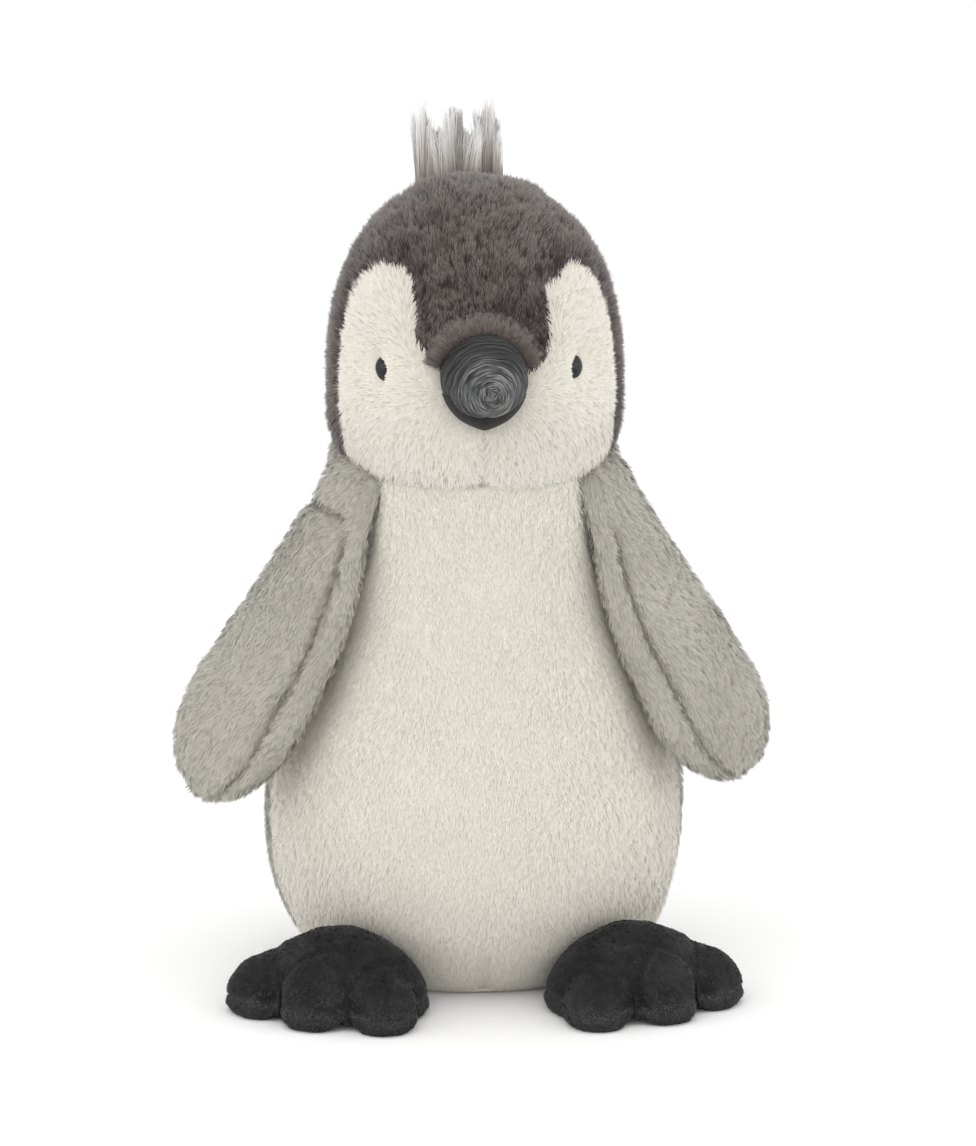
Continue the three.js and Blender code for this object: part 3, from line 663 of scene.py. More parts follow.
def make_body():
    turn = seam_turns()
    back = np.full_like(turn, math.pi / 2)
    panels = [
        ("belly_panel", -math.pi - turn, turn, 150, "cream", 0.6),
        ("back_panel_left", turn, back, 90, "grey", 0.55),
        ("back_panel_right", back, math.pi - turn, 90, "grey", 0.55),
    ]
    for k, (name, start, end, columns, kind, least) in enumerate(panels):
        skin = body_panel(start, end, columns)
        if kind == "cream":
            low = (1 - smoothstep(skin.v[:, 2], 8, 30)) * (skin.v[:, 1] < 0)
            skin.press(1.6 * bell(skin.v[:, 0], 2.6) * low)  # the dart
        plush_panel(name, name, skin, kind, downwards, "torso", 0.75, BODY_BEND, 100 + 10 * k,
                    length=shorter_below(kind, least))
    wide, deep, z, _ = body_rows()
    share = np.linspace(0.02, 1, 24)[:, None]
    turn = ring_turns(120)[None, :]
    x, y = wide[0] * share * np.cos(turn), deep[0] * share * np.sin(turn)
    # flat, apart from its rim, which rises to the body's lowest ring
    rise = 0.3 + (z[0] - 0.3) * np.clip((share - 0.94) / 0.06, 0, 1) ** 2
    base = grid_skin(np.stack([x, y, rise + 0 * x], axis=2), wrap=True)
    obj = cloth_piece("base_panel_cloth", base)
    finish_piece(obj, CREAM_CLOTH, "torso", ("base_panel",))


# ---- head

def head_rows():
    """The head's rings from the neck seam up: half-width, half-depth, middle's y, height, tilt."""
    turn = np.linspace(math.pi / 2, 0, 34)
    share = np.cos(turn) ** 0.75
    top_wide, top_deep = HEAD_WIDE - BACKING, HEAD_WIDE * HEAD_DEPTH - BACKING
    wide = NECK_WIDE + (top_wide - NECK_WIDE) * share
    deep = NECK_DEEP + (top_deep - NECK_DEEP) * share
    middle = HEAD_Y * share
    z = HEAD_WIDEST_Z + (NECK_Z - HEAD_WIDEST_Z) * np.sin(turn)
    tilt = np.sin(turn) ** 1.5
    rise = np.linspace(0, math.radians(89), 74)[1:]
    round_ = super_round(np.sin(rise), HEAD_ROUND)
    wide = np.concatenate([wide, top_wide * round_])
    deep = np.concatenate([deep, top_deep * round_])
    middle = np.concatenate([middle, np.full(len(rise), HEAD_Y)])
    z = np.concatenate([z, HEAD_WIDEST_Z + (HEAD_UPPER - BACKING) * np.sin(rise)])
    tilt = np.concatenate([tilt, np.zeros(len(rise))])
    return [x[:, None] for x in (wide, deep, middle, z, tilt)]


def head_points():
    wide, deep, middle, z, tilt = head_rows()
    turn = ring_turns(240)[None, :]
    x, y = wide * np.cos(turn), middle + deep * np.sin(turn)
    return np.stack([x, y, z + NECK_TILT * y * tilt], axis=2)


def face_outline(side):
    """One white face panel in the front view, from the beak up round its lobe and down the cheek.

    The lobe on the toy's right is broad and flat on top, and the one on its left is more pointed.
    """
    inner = GUSSET_WIDE + 0.5
    points = [np.array([(0, BEAK_Z), (BEAK_WIDE - 2, BEAK_Z + 1)], float)]
    corner = (26.5, 253) if side > 0 else (21, 255)
    points.append(bezier([(BEAK_WIDE - 2, BEAK_Z + 1), corner, (inner, 268)], 10))
    if side > 0:
        points.append(bezier([(inner, 268), (inner - 1, 278), (inner - 1.5, 286)], 6))
        points.append(bezier([(inner - 1.5, 286), (inner + 4, 289), (37.5, 295)], 8))
        points.append(bezier([(37.5, 295), (46, 293), (HEAD_WIDE, 268), (HEAD_WIDE + 4, HEAD_WIDEST_Z)], 16))
    else:
        points.append(bezier([(inner, 268), (inner - 0.5, 277), (inner, 284)], 6))
        points.append(bezier([(inner, 284), (inner + 0.5, 293), (36, 293.5)], 8))
        points.append(bezier([(36, 293.5), (42, 294), (50, 290), (HEAD_WIDE - 3, 272),
                              (HEAD_WIDE + 4, HEAD_WIDEST_Z)], 18))
    points.append(np.array([(HEAD_WIDE + 4, 100), (0, 100)], float))
    return np.vstack(points)


def signed_distance(x, z, outline):
    """Distance to a closed outline in the front view, positive inside it."""
    p = np.stack([x, z], axis=-1)
    best = np.full(x.shape, 1e9)
    inside = np.zeros(x.shape, bool)
    for a, b in zip(outline, np.roll(outline, -1, axis=0)):
        ab = b - a
        t = np.clip(((p - a) @ ab) / max(ab @ ab, 1e-12), 0, 1)
        best = np.minimum(best, np.linalg.norm(p - a - t[..., None] * ab, axis=-1))
        if a[1] != b[1]:
            crosses = (a[1] > z) != (b[1] > z)
            inside ^= crosses & (x < a[0] + (z - a[1]) / (b[1] - a[1]) * ab[0])
    return np.where(inside, best, -best)


def face_field(p):
    near, far = (signed_distance(np.abs(p[..., 0]), p[..., 2], face_outline(side)) for side in (1, -1))
    return np.minimum(np.where(p[..., 0] > 0, near, far), FACE_BACK - p[..., 1])


def beak_field(p):
    """Distance outside the beak's foot in the front view."""
    x, z = p[..., 0] / (BEAK_WIDE - 1.5), (p[..., 2] - BEAK_Z) / (BEAK_HIGH - 1.5)
    reach = (np.sqrt(x * x + z * z) - 1) * BEAK_WIDE
    return np.where(p[..., 1] < 0, reach, 99)


def snap(points, field, fixed):
    """Moves the grid points nearest to a seam onto it; field is zero on the seam."""
    best = np.full(field.shape, 1e9)
    target = points.copy()
    for axis, step in ((0, 1), (0, -1), (1, 1), (1, -1)):
        other, value = np.roll(points, step, axis=axis), np.roll(field, step, axis=axis)
        if axis == 0:
            edge = 0 if step == 1 else -1
            value[edge] = field[edge]
        crossing = (field * value < 0) & ~fixed
        t = np.where(crossing, field / np.where(crossing, field - value, 1), 1)
        reach = t * np.linalg.norm(other - points, axis=-1)
        nearer = crossing & (t <= 0.5) & (reach < best)
        best[nearer] = reach[nearer]
        target[nearer] = (points + t[..., None] * (other - points))[nearer]
    moved = best < 1e8
    return target, np.where(moved, 0, field), fixed | moved


def head_front(x, z):
    """The head's front surface at x and z, and its normal there."""
    round_ = super_round((z - HEAD_WIDEST_Z) / HEAD_UPPER, HEAD_ROUND)
    wide, deep = HEAD_WIDE * round_, HEAD_WIDE * HEAD_DEPTH * round_
    depth = deep * np.sqrt(1 - (x / wide) ** 2)
    slope = (np.abs(z - HEAD_WIDEST_Z) / HEAD_UPPER) ** (HEAD_ROUND - 1) / HEAD_UPPER * HEAD_WIDE
    out = unit(np.stack([x / wide, -depth / deep / HEAD_DEPTH, slope], axis=-1))
    return np.stack([x, HEAD_Y - depth, z + 0 * x], axis=-1), out


def eye_spot(side):
    """The middle of an eye on the head's surface, and the way out of the head there."""
    spot, out = head_front(EYE_X, EYE_Z)
    return spot * (side, 1, 1) + (EYE_SHIFT, 0, 0), out * (side, 1, 1)


def head_flow(spot, normal):
    """Pile runs out from the beak over the face and crown, and hangs down round the jaw and neck."""
    away = spot - np.array([0, -70, BEAK_Z - 4])
    down = np.array([0, 0, -1.0])
    jaw = smoothstep(BEAK_Z - spot[:, 2], 2, 30)[:, None]
    sway = np.cross(normal, unit(away)) * (wobble(spot, 30, 21) * 0.22)[:, None]
    return unit(away) * (1 - 0.75 * jaw) + down * 1.1 * jaw + sway


def off_the_face(spot):
    """The way across the face panel's edge, out of the white and into the dark."""
    step = 0.5
    slope = np.zeros_like(spot)
    for axis in (0, 2):
        shift = np.zeros(3)
        shift[axis] = step
        slope[:, axis] = face_field(spot - shift) - face_field(spot + shift)
    return unit(slope)


def face_flow(spot, normal):
    edge = bell(face_field(spot), 5.0)[:, None]
    return head_flow(spot, normal) * (1 - 0.5 * edge) + off_the_face(spot) * 0.7 * edge


def crown_flow(spot, normal):
    """Crown pile runs up from the brow between the white lobes, and away from the white beside them."""
    edge = bell(face_field(spot), 9.0)[:, None]
    low = (1 - smoothstep(spot[:, 2], 285, 305))[:, None] * (spot[:, 1:2] < FACE_BACK + 8)
    inner = low * (np.abs(spot[:, :1]) < GUSSET_WIDE + 2)
    rise = np.array([0, 0, 1.0]) + np.stack([spot[:, 0] * 0.01, 0 * spot[:, 0], 0 * spot[:, 0]], axis=1)
    flow = head_flow(spot, normal)
    flow = flow * (1 - inner) + rise * inner
    return flow * (1 - 0.6 * edge) + off_the_face(spot) * 0.8 * edge


def near_eyes(spot):
    return np.min([np.linalg.norm(spot - eye_spot(side)[0], axis=-1) for _, side in BOTH], axis=0)


def eye_offset(spot):
    """How far a point lies across and up from the line of its eye's slit, which slants to the beak."""
    up = spot[:, 2] - EYE_Z
    return np.abs(np.abs(spot[:, 0] - EYE_SHIFT) - EYE_X - 0.2 * up), up


def eye_slit(spot):
    """1 in the narrow upright hollow round each eye, fading to 0 beside it."""
    across, up = eye_offset(spot)
    return bell(across, np.where(spot[:, 0] > 0, 2.3, 1.25)) * bell(up, 8.2) * (spot[:, 1] < 0)


def face_length(spot, normal):
    beak = beak_field(spot)
    size = 4.4 * (0.6 + 0.4 * smoothstep(beak, 0, 12))
    return size * (0.3 + 0.7 * smoothstep(near_eyes(spot), 3, 13))


def crown_length(spot, normal):
    beak = beak_field(spot)
    above = spot[:, 2] - NECK_Z - NECK_TILT * spot[:, 1]
    size = PILE["crown"]["length"] * (0.6 + 0.4 * smoothstep(beak, 2, 16))
    return size * (0.45 + 0.55 * smoothstep(above, 2, 16))


def crown_tint(spot, normal):
    """The forehead between the lobes is darkest, and the top and sides are paler, a painted highlight."""
    forehead = (1 - smoothstep(spot[:, 2], 285, 312)) * (spot[:, 1] < FACE_BACK + 8) * (
        np.abs(spot[:, 0]) < GUSSET_WIDE + 4)
    top = smoothstep(spot[:, 2], 305, 325)
    return -0.22 * forehead + 0.14 * top


def clear_of_eyes(spot, normal):
    """No pile grows over the eyes; the toy's left eye shows a little more through its slit."""
    across, up = eye_offset(spot)
    return (across / np.where(spot[:, 0] > 0, 2.4, 1.15)) ** 2 + (up / 6.4) ** 2 > 1


def make_head():
    points = head_points()
    fixed = np.zeros(points.shape[:2], bool)
    beak = beak_field(points)
    points, beak, fixed = snap(points, beak, fixed)
    face = face_field(points)
    points, face, fixed = snap(points, face, fixed)
    gusset = GUSSET_WIDE - np.abs(points[..., 0])
    points, gusset, _ = snap(points, np.where(face < 0, gusset, 9), fixed)
    whole = grid_skin(points, wrap=True)
    flat = points.reshape(-1, 3)
    # how deep and wide the cloth sinks: at the face's edge, the gusset, the chin, the beak and the eyes
    seams = 1.5 * bell(face.ravel(), 3.6) * (beak.ravel() > 0)
    seams += 0.9 * bell(gusset.ravel(), 3.5) * (face.ravel() < 0)
    chin = (flat[:, 1] < 0) & (flat[:, 2] < BEAK_Z)
    seams += 0.7 * bell(flat[:, 0], 2.2) * chin
    seams += 1.6 * bell(beak.ravel(), 4) * (flat[:, 1] < 0)
    seams += 3.6 * eye_slit(flat) + 1.1 * bell(near_eyes(flat), 10)
    puff = 1.2 * bell(near_eyes(flat + np.array([0, 0, 22.0])), 22)
    lumps = 0.5 * wobble(flat, 40, 31) + 0.25 * wobble(flat, 16, 32)
    whole.press(seams - lumps - puff)
    middle = whole.v[whole.f].mean(axis=1)
    value = lambda field: field.ravel()[whole.f].mean(axis=1)
    open_ = value(beak) > 0
    white = value(face) > 0
    strip = value(gusset) > 0

    def panel(name, faces, kind, flow, seed, **more):
        skin = sub_skin(whole, open_ & faces)
        plush_panel(name, name, skin, kind, flow, "head", 0.8, HEAD_BEND, seed, **more)

    for name, side in BOTH:
        near = middle[:, 0] * side > 0
        panel(f"face_panel_{name}", white & near, "cream", face_flow, 200 + side, length=face_length,
              density=1.35, keep=clear_of_eyes)
        panel(f"head_side_panel_{name}", ~white & ~strip & near, "crown", crown_flow, 220 + side,
              length=crown_length, tint=crown_tint)
    panel("crown_gusset", ~white & strip, "crown", crown_flow, 240, length=crown_length, density=1.1,
          tint=crown_tint)


def make_brow():
    """The padded fold over the beak, a roll that tapers into the cheeks at both ends."""
    turn = np.linspace(-BROW_SPAN, BROW_SPAN, 60)
    spot, out = head_front(BROW_RADIUS * np.sin(turn), BEAK_Z + BROW_RADIUS * np.cos(turn))
    along = np.stack([np.cos(turn), 0 * turn, -np.sin(turn)], axis=1)
    across = unit(np.cross(along, out))
    thick = BROW_ROLL * (1 - 0.45 * np.abs(turn / BROW_SPAN) ** 2.5)
    ring = ring_turns(28)
    middle = spot - out * 1.2
    points = middle[:, None]
    points = points + across[:, None] * (thick[:, None] * np.cos(ring))[..., None]
    points = points + out[:, None] * (thick[:, None] * 0.85 * np.sin(ring))[..., None]
    skin = facing_out(grid_skin(points, wrap=True), middle.repeat(len(ring), axis=0))
    radial = lambda spot, normal: spot - np.array([0, -50, BEAK_Z - 2])
    facing = lambda spot, normal: normal @ np.array([0, -1.0, 0.35]) > -0.35
    plush_panel("brow_fold", "brow_fold", skin, "brow", radial, "head", 0.9, None, 260, keep=facing)


# ---- beak and eyes

def beak_place(x, up, along):
    """A point of the beak: across, up, and along its drooping axis from the head's surface."""
    foot = head_front(0.0, BEAK_Z)[0]
    droop = BEAK_DROOP * (along / BEAK_LONG) ** 2 * np.sign(along)
    return np.stack([x + 0 * along, foot[1] - along, foot[2] + up - droop], axis=-1)


def make_beak():
    share = np.concatenate([[-0.24, -0.12], 1 - (1 - np.linspace(0, 1, 44)) ** 1.35])[:, None]
    turn = ring_turns(96)[None, :]
    size = np.maximum(super_round(np.clip(share, 0, 1), 1.5), 0.004)
    high = np.where(np.sin(turn) > 0, BEAK_HIGH, BEAK_HIGH - 2.6)
    x, up = BEAK_WIDE * size * np.cos(turn), high * size * np.sin(turn)
    points = beak_place(x, up, share * BEAK_LONG + 0 * x)
    upper = grid_skin(points, wrap=True)
    upper = facing_out(upper, upper.v.mean(axis=0))
    crown = bell(upper.v[:, 0], 1.2) * 0.35 * (upper.v[:, 2] < BEAK_Z - 6)
    upper.press(crown - 0.25 * wobble(upper.v, 9, 41))
    obj = cloth_piece("beak_upper_suede", upper, 1.0)
    finish_piece(obj, BEAK_UPPER, "head", ("beak_upper",))

    share = np.concatenate([[-0.24, -0.12], 1 - (1 - np.linspace(0, 1, 30)) ** 1.3])[:, None]
    turn = np.linspace(math.radians(196), math.radians(344), 64)[None, :]
    size = super_round(np.clip(share, 0, 1), 1.7)
    point = 1 + 0.05 * bell(turn - 1.5 * math.pi, 0.22)
    reach = BEAK_WIDE * 1.35
    x, up = BEAK_WIDE * 1.01 * size * np.cos(turn), BEAK_HIGH * point * size * np.sin(turn)
    lower = facing_out(grid_skin(beak_place(x, up, share * reach + 0 * x)), beak_place(0.0, 4.0, 10.0))
    obj = cloth_piece("beak_lower_suede_piece", lower, 1.4)
    finish_piece(obj, BEAK_LOWER_SHADED, "head", ("beak_lower",))


def circle(across, third, segments):
    """A ring of unit steps away from an axis, from the two ways across it."""
    ring = ring_turns(segments)[:, None]
    return np.cos(ring) * across + np.sin(ring) * third


def turned(profile, place, out, segments=40):
    """A surface of revolution about out through place, from (radius, height) pairs."""
    across = unit(np.cross([0, 0, 1.0], out))
    radius, height = np.array(profile, float).T[..., None, None]
    return place + radius * circle(across, np.cross(out, across), segments) + height * out


def make_eyes():
    arc = np.linspace(0, math.pi / 2 - 0.02, 16)
    # radius and height from the head's surface: the eye's stem, its flat back, then its dome
    dome = [(0.05, -11), (1.8, -11), (1.8, -5.8), (EYE_R - 0.5, -5.8), (EYE_R, -5.3)]
    dome += [(EYE_R * math.cos(a), -5.3 + 3.7 * math.sin(a)) for a in arc[1:]]
    ring = [(2.15, -9), (6.2, -9), (6.5, -8.8), (6.5, -7.7), (6.2, -7.5), (2.15, -7.5), (2.15, -9)]
    parts = (("eye_dome", "eye", dome, EYE_BLACK, "eye_plastic"),
             ("eye_lock_washer", "eye_washer", ring, NYLON, "washer_nylon"))
    for name, side in BOTH:
        for piece, node, profile, material, slot in parts:
            skin = grid_skin(turned(profile, *eye_spot(side)), wrap=True)
            obj = new_mesh(f"{piece}_{name}", skin.v, skin.f)
            finish_piece(obj, material, "head", (f"{node}_{name}",))


# ---- crest

def make_crest():
    """Long pile in spiky locks on the crown: many fine strands, each of several short blades."""
    rng = np.random.default_rng(77)
    locks, each, steps = CREST_LOCKS, CREST_STRANDS, CREST_STEPS
    x = CREST_X + CREST_WIDE * np.linspace(-1, 1, locks) * 0.97 + rng.normal(0, 0.6, locks)
    y = CREST_Y + CREST_DEEP * rng.uniform(-0.8, 0.8, locks)
    share = (x - CREST_X) / CREST_WIDE
    # three tufts stand higher than the locks between them
    tall = 0.6 + sum(more * bell(share - at, 0.2) for at, more in CREST_TUFTS)
    tall = CREST_TALL * tall * rng.uniform(0.85, 1.0, locks)
    total = locks * each
    rep = lambda a: np.repeat(a, each)
    turn, radius = rng.random(total) * math.tau, np.sqrt(rng.random(total)) * 2.1
    rx, ry = rep(x) + radius * np.cos(turn), rep(y) + radius * np.sin(turn)
    inside = 1 - (rx / HEAD_WIDE) ** 2 - ((ry - HEAD_Y) / HEAD_WIDE / HEAD_DEPTH) ** 2
    rz = HEAD_WIDEST_Z + HEAD_UPPER * np.sqrt(np.clip(inside, 0, 1)) ** 0.85 - 3.5
    root = np.stack([rx, ry, rz], axis=1)
    top = HEAD_WIDEST_Z + HEAD_UPPER
    height = rep(tall) * (0.5 + 0.5 * rng.random(total) ** 0.7)
    lean_x = rep(share * 1.5 + rng.normal(0, 1.3, locks)) + rng.normal(0, 0.7, total)
    lean_y = rep(1.5 + rng.normal(0, 1.5, locks)) + rng.normal(0, 0.6, total)
    gather = 0.62  # how far a lock's strands draw together at its tip
    tx = rx + (rep(x) - rx) * gather + lean_x
    ty = ry + (rep(y) - ry) * gather + lean_y
    tip = np.stack([tx, ty, top + height], axis=1)
    t = np.linspace(0, 1, steps + 1)
    shape = t[:, None, None]
    line = root + (tip - root) * shape
    line[..., :2] = root[:, :2] + (tip - root)[:, :2] * shape ** 1.7
    away = [(rx - CREST_X) / CREST_WIDE, (ry - CREST_Y) / CREST_DEEP * 1.2, np.full(total, 0.25)]
    facing = unit(np.stack(away, axis=1) + rng.normal(0, 0.25, (total, 3)))
    facing[:, 1] = np.where(ry < CREST_Y + 1, -1, 1) * (np.abs(facing[:, 1]) + 0.4)
    side = unit(np.cross(tip - root, facing))
    taper = 0.21 * (1 - 0.8 * t ** 2)[:, None, None]
    v = np.stack([line - side * taper, line + side * taper], axis=2).transpose(1, 0, 2, 3).reshape(-1, 3)
    per = 2 * (steps + 1)
    strip = np.array([[2 * k, 2 * k + 1, 2 * k + 3, 2 * k + 2] for k in range(steps)])
    faces = (np.arange(total)[:, None, None] * per + strip).reshape(-1, 4)
    obj = new_mesh("crest_pile", v, faces)
    layer = obj.data.uv_layers.new(name=FUR_UV)
    inner, outer = shade_cells(np.clip(0.55 + rng.normal(0, 0.25, total), 0, 0.999))
    u = np.stack([inner, outer, outer, inner], axis=1)[:, None]
    low, high = t[:-1] * 0.96 + 0.02, t[1:] * 0.96 + 0.02
    w = np.stack([low, low, high, high], axis=1)[None]
    uv = np.stack(np.broadcast_arrays(u, w), axis=3)
    layer.data.foreach_set("uv", uv.astype(np.float32).ravel())
    facing = unit(unit(facing) + (0, 0, 0.9))
    obj.data.normals_split_custom_set_from_vertices(np.repeat(facing, per, axis=0))
    obj.visible_shadow = False
    finish_piece(obj, CREST_FUR, "head", ("crest",))


# ---- flippers

def flipper_frame(side):
    """A flipper's root and axes, as if on the left: across towards its back edge, back, and up along it."""
    turn = math.radians(-26.5)
    wide = WAIST_WIDE * math.sqrt(1 - (2 / 48) ** 2)
    deep = wide * BODY_DEPTH
    normal = unit(np.array([deep * math.cos(turn), wide * math.sin(turn), 0]))
    root = np.array([wide * math.cos(turn), deep * math.sin(turn), 205.0]) + normal * 1.3
    down = unit(np.array([math.tan(math.radians(FLIPPER_LEAN[side])), -math.tan(math.radians(6)), -1]))
    out = np.array([math.sin(math.radians(33)), -math.cos(math.radians(33)), 0])
    out = unit(out - down * (out @ down))
    across = np.cross(-out, -down)
    return root - down * FLIPPER_TUCK - across * 3.0, across, -out, -down


def out_of_body(p, gap, much=1.0):
    """Pushes points level out of the body until they are gap clear of it, or a share of the way."""
    z = np.clip(p[..., 2], 0, NECK_Z)
    wide = body_half_width(z) + gap
    deep = body_half_width(z) * BODY_DEPTH + gap
    reach = np.sqrt((p[..., 0] / wide) ** 2 + (p[..., 1] / deep) ** 2)
    scale = 1 + np.where(reach < 1, 1 / np.maximum(reach, 1e-6) - 1, 0) * much
    return p * np.stack([scale, scale, np.ones_like(scale)], axis=-1)


def flipper_points(side, start, end, columns):
    """A flipper's surface between two turns round it, as if on the left: points, share of length, turn."""
    share = np.concatenate([[0, 0.008, 0.02, 0.04], np.linspace(0.065, 0.75, 52), 0.75 + 0.25 * np.sin(
        np.linspace(0, math.pi / 2, 22)[1:])])[:, None]
    turn = np.linspace(start, end, columns)[None, :]
    grown = smoothstep(share, 0, 0.65)
    round_ = super_round(np.clip((share - 0.75) / 0.25, 0, 1), 2.2)
    crown = super_round(np.clip((0.08 - share) / 0.08, 0, 1), 2.0)
    size = np.maximum(round_ * crown, 0.01)
    wide = (FLIPPER_ROOT + (FLIPPER_WIDE - FLIPPER_ROOT) * grown) * size
    thick = (FLIPPER_ROOT_THICK + (FLIPPER_THICK - FLIPPER_ROOT_THICK) * grown) * size
    wide, thick = (np.maximum(half - FLIPPER_INSET, 0.1) for half in (wide, thick))
    x, y = wide * np.cos(turn), thick * np.sin(turn)
    twist = FLIPPER_TWIST * (1 - grown)  # the root lies flatter to the body than the rest
    x, y = x * np.cos(twist) - y * np.sin(twist), x * np.sin(twist) + y * np.cos(twist)
    x = x - FLIPPER_BOW * bell(share - FLIPPER_BOW_AT, FLIPPER_BOW_SPAN)
    root, across, back, up = flipper_frame(side)
    long_ = FLIPPER_LONG - (7 if side > 0 else 0)  # the left one is a little shorter
    points = root + x[..., None] * across + y[..., None] * back - (share * long_)[..., None] * up
    return out_of_body(points, 0.6, smoothstep(share, 0.08, 0.2) + 0 * turn), share, turn


def mirror_skin(skin, side):
    if side > 0:
        return skin
    return Skin(skin.v * (-1, 1, 1), skin.f[:, ::-1])


def flipper_bend(name, side):
    """The stretch of the shoulder that bends when a flipper lifts, for its cloth and its fibre alike."""
    root, _, _, up = flipper_frame(side)
    start, end = (tuple(to_frame((root - up * below) * (side, 1, 1))) for below in (BEND_FROM, BEND_TO))
    return "torso", f"flipper_{name}", start, end


def make_flippers():
    halves = (("outer", -math.pi + FLIPPER_SEAM, 0.0), ("inner", 0.0, math.pi + FLIPPER_SEAM))
    for side_name, side in BOTH:
        flip = np.array([side, 1, 1])
        down = -flipper_frame(side)[3] * flip
        for k, (half, low, high) in enumerate(halves):
            points, share, turn = flipper_points(side, low, high, 64)
            folded = side < 0 and half == "outer"
            skin = grid_skin(points, flip=True)
            inset = np.minimum(turn - low, high - turn) * FLIPPER_WIDE * 0.8
            front = (turn - low if half == "outer" else high - turn) * FLIPPER_WIDE * 0.8
            seam = (0.9 * bell(inset, 2.2) + 1.6 * bell(front, 2.6)) * smoothstep(share, 0.12, 0.35)
            if folded:
                seam = seam + 2.2 * bell((share - SHOULDER_FOLD) * FLIPPER_LONG + 0 * turn, 1.8)
            lumps = 0.7 * wobble(points, 34, 51) + 0.3 * wobble(points, 13, 53)
            skin.press((seam - lumps).ravel())
            form = skin.v.reshape(*points.shape)
            line = form[14:-5, 0 if half == "outer" else -1] * flip  # where the front seam's crease runs
            if folded:
                fold = form[np.argmin(np.abs(share[:, 0] - SHOULDER_FOLD)), 3:-3] * flip
                line = np.vstack([line, fold])

            def flow(spot, normal):
                return swayed(down, normal, spot, 0.3, 24, 61 + k, down)

            # painted shade: the pile is darker along the front seam's crease and, on the folded flipper,
            # across the shoulder's fold; elsewhere it is a little paler
            def crease_shade(spot, normal):
                away = np.linalg.norm(spot[:, None] - line[None], axis=2).min(axis=1)
                return 0.1 - 0.9 * bell(away, 1.6)

            plush_panel(f"flipper_{half}_{side_name}", f"flipper_{half}_panel_{side_name}",
                        mirror_skin(skin, side), "grey", flow, f"flipper_{side_name}", 0.7,
                        flipper_bend(side_name, side), 300 + 20 * k + side,
                        density=1.4 if half == "outer" else 1.1, tint=crease_shade)


def make_flipper_fill():
    """The fibre inside each flipper: the flipper's own form, a few millimetres smaller all round."""
    for name, side in BOTH:
        points, share, _ = flipper_points(side, 0, math.tau * 47 / 48, 48)
        skin = grid_skin(points, wrap=True, flip=True)
        depth = (4.2 - 0.8 * wobble(points, 14, 86)) * smoothstep(share, 0, 0.1)
        skin.press((depth * smoothstep(1 - share, 0, 0.02)).ravel())
        inside = np.broadcast_to((share > 0.07) & (share < 0.965), points.shape[:2]).ravel()
        part = mirror_skin(sub_skin(skin, inside[skin.f].all(axis=1)), side)
        obj = new_mesh(f"flipper_fibre_{name}", part.v, part.f)
        bm = bmesh.new()
        bm.from_mesh(obj.data)
        bmesh.ops.holes_fill(bm, edges=[e for e in bm.edges if e.is_boundary])
        bm.to_mesh(obj.data)
        bm.free()
        obj.data.shade_smooth()
        finish_piece(obj, FIBRE, f"flipper_{name}", (f"flipper_stuffing_{name}",),
                     flipper_bend(name, side))


# ---- feet

def foot_solid():
    """One foot in its own frame, heel at the middle and toes towards -Y, smoothed into one form."""
    bm = bmesh.new()
    # the pad and three toes: reach from the heel, turn, half-length, half-width, half-height, bluntness
    lumps = [(29, 0, 33, 36, 33, 2.1), (37, TOE_SPREAD * 1.1, 27, 17, 23, 2.9), (37, 0, 27, 16, 20, 2.5),
             (40, -TOE_SPREAD, 26, 14.5, 20, 2.4)]
    for reach, turn, long_, wide, high, blunt in lumps:
        made = bmesh.ops.create_uvsphere(bm, u_segments=48, v_segments=28, radius=1)
        for vertex in made["verts"]:
            fuller = sum(abs(c) ** blunt for c in vertex.co) ** (-1 / blunt)
            x, y, z = vertex.co.x * wide, vertex.co.y * long_, vertex.co.z * high
            x, y, z = x * fuller, y * fuller - reach, z * fuller
            c, s = math.cos(turn), math.sin(turn)
            vertex.co = (x * c - y * s, x * s + y * c, max(z, -1.0))
    mesh = bpy.data.meshes.new("foot_form")
    bm.to_mesh(mesh)
    bm.free()
    obj = new_object("foot_form", mesh)
    v, _ = remeshed(obj, 1.5, 8)
    faces = [tuple(p.vertices) for p in obj.data.polygons]
    bpy.data.objects.remove(obj)
    return v, np.array([f for f in faces if len(f) == 4])


def toe_gap(v, turn):
    """The way ahead between two toes, and how far along it and off it each point lies."""
    ahead = np.array([math.sin(turn), -math.cos(turn)])
    beside = np.array([math.cos(turn), math.sin(turn)])
    return ahead, v[:, :2] @ ahead, v[:, :2] @ beside


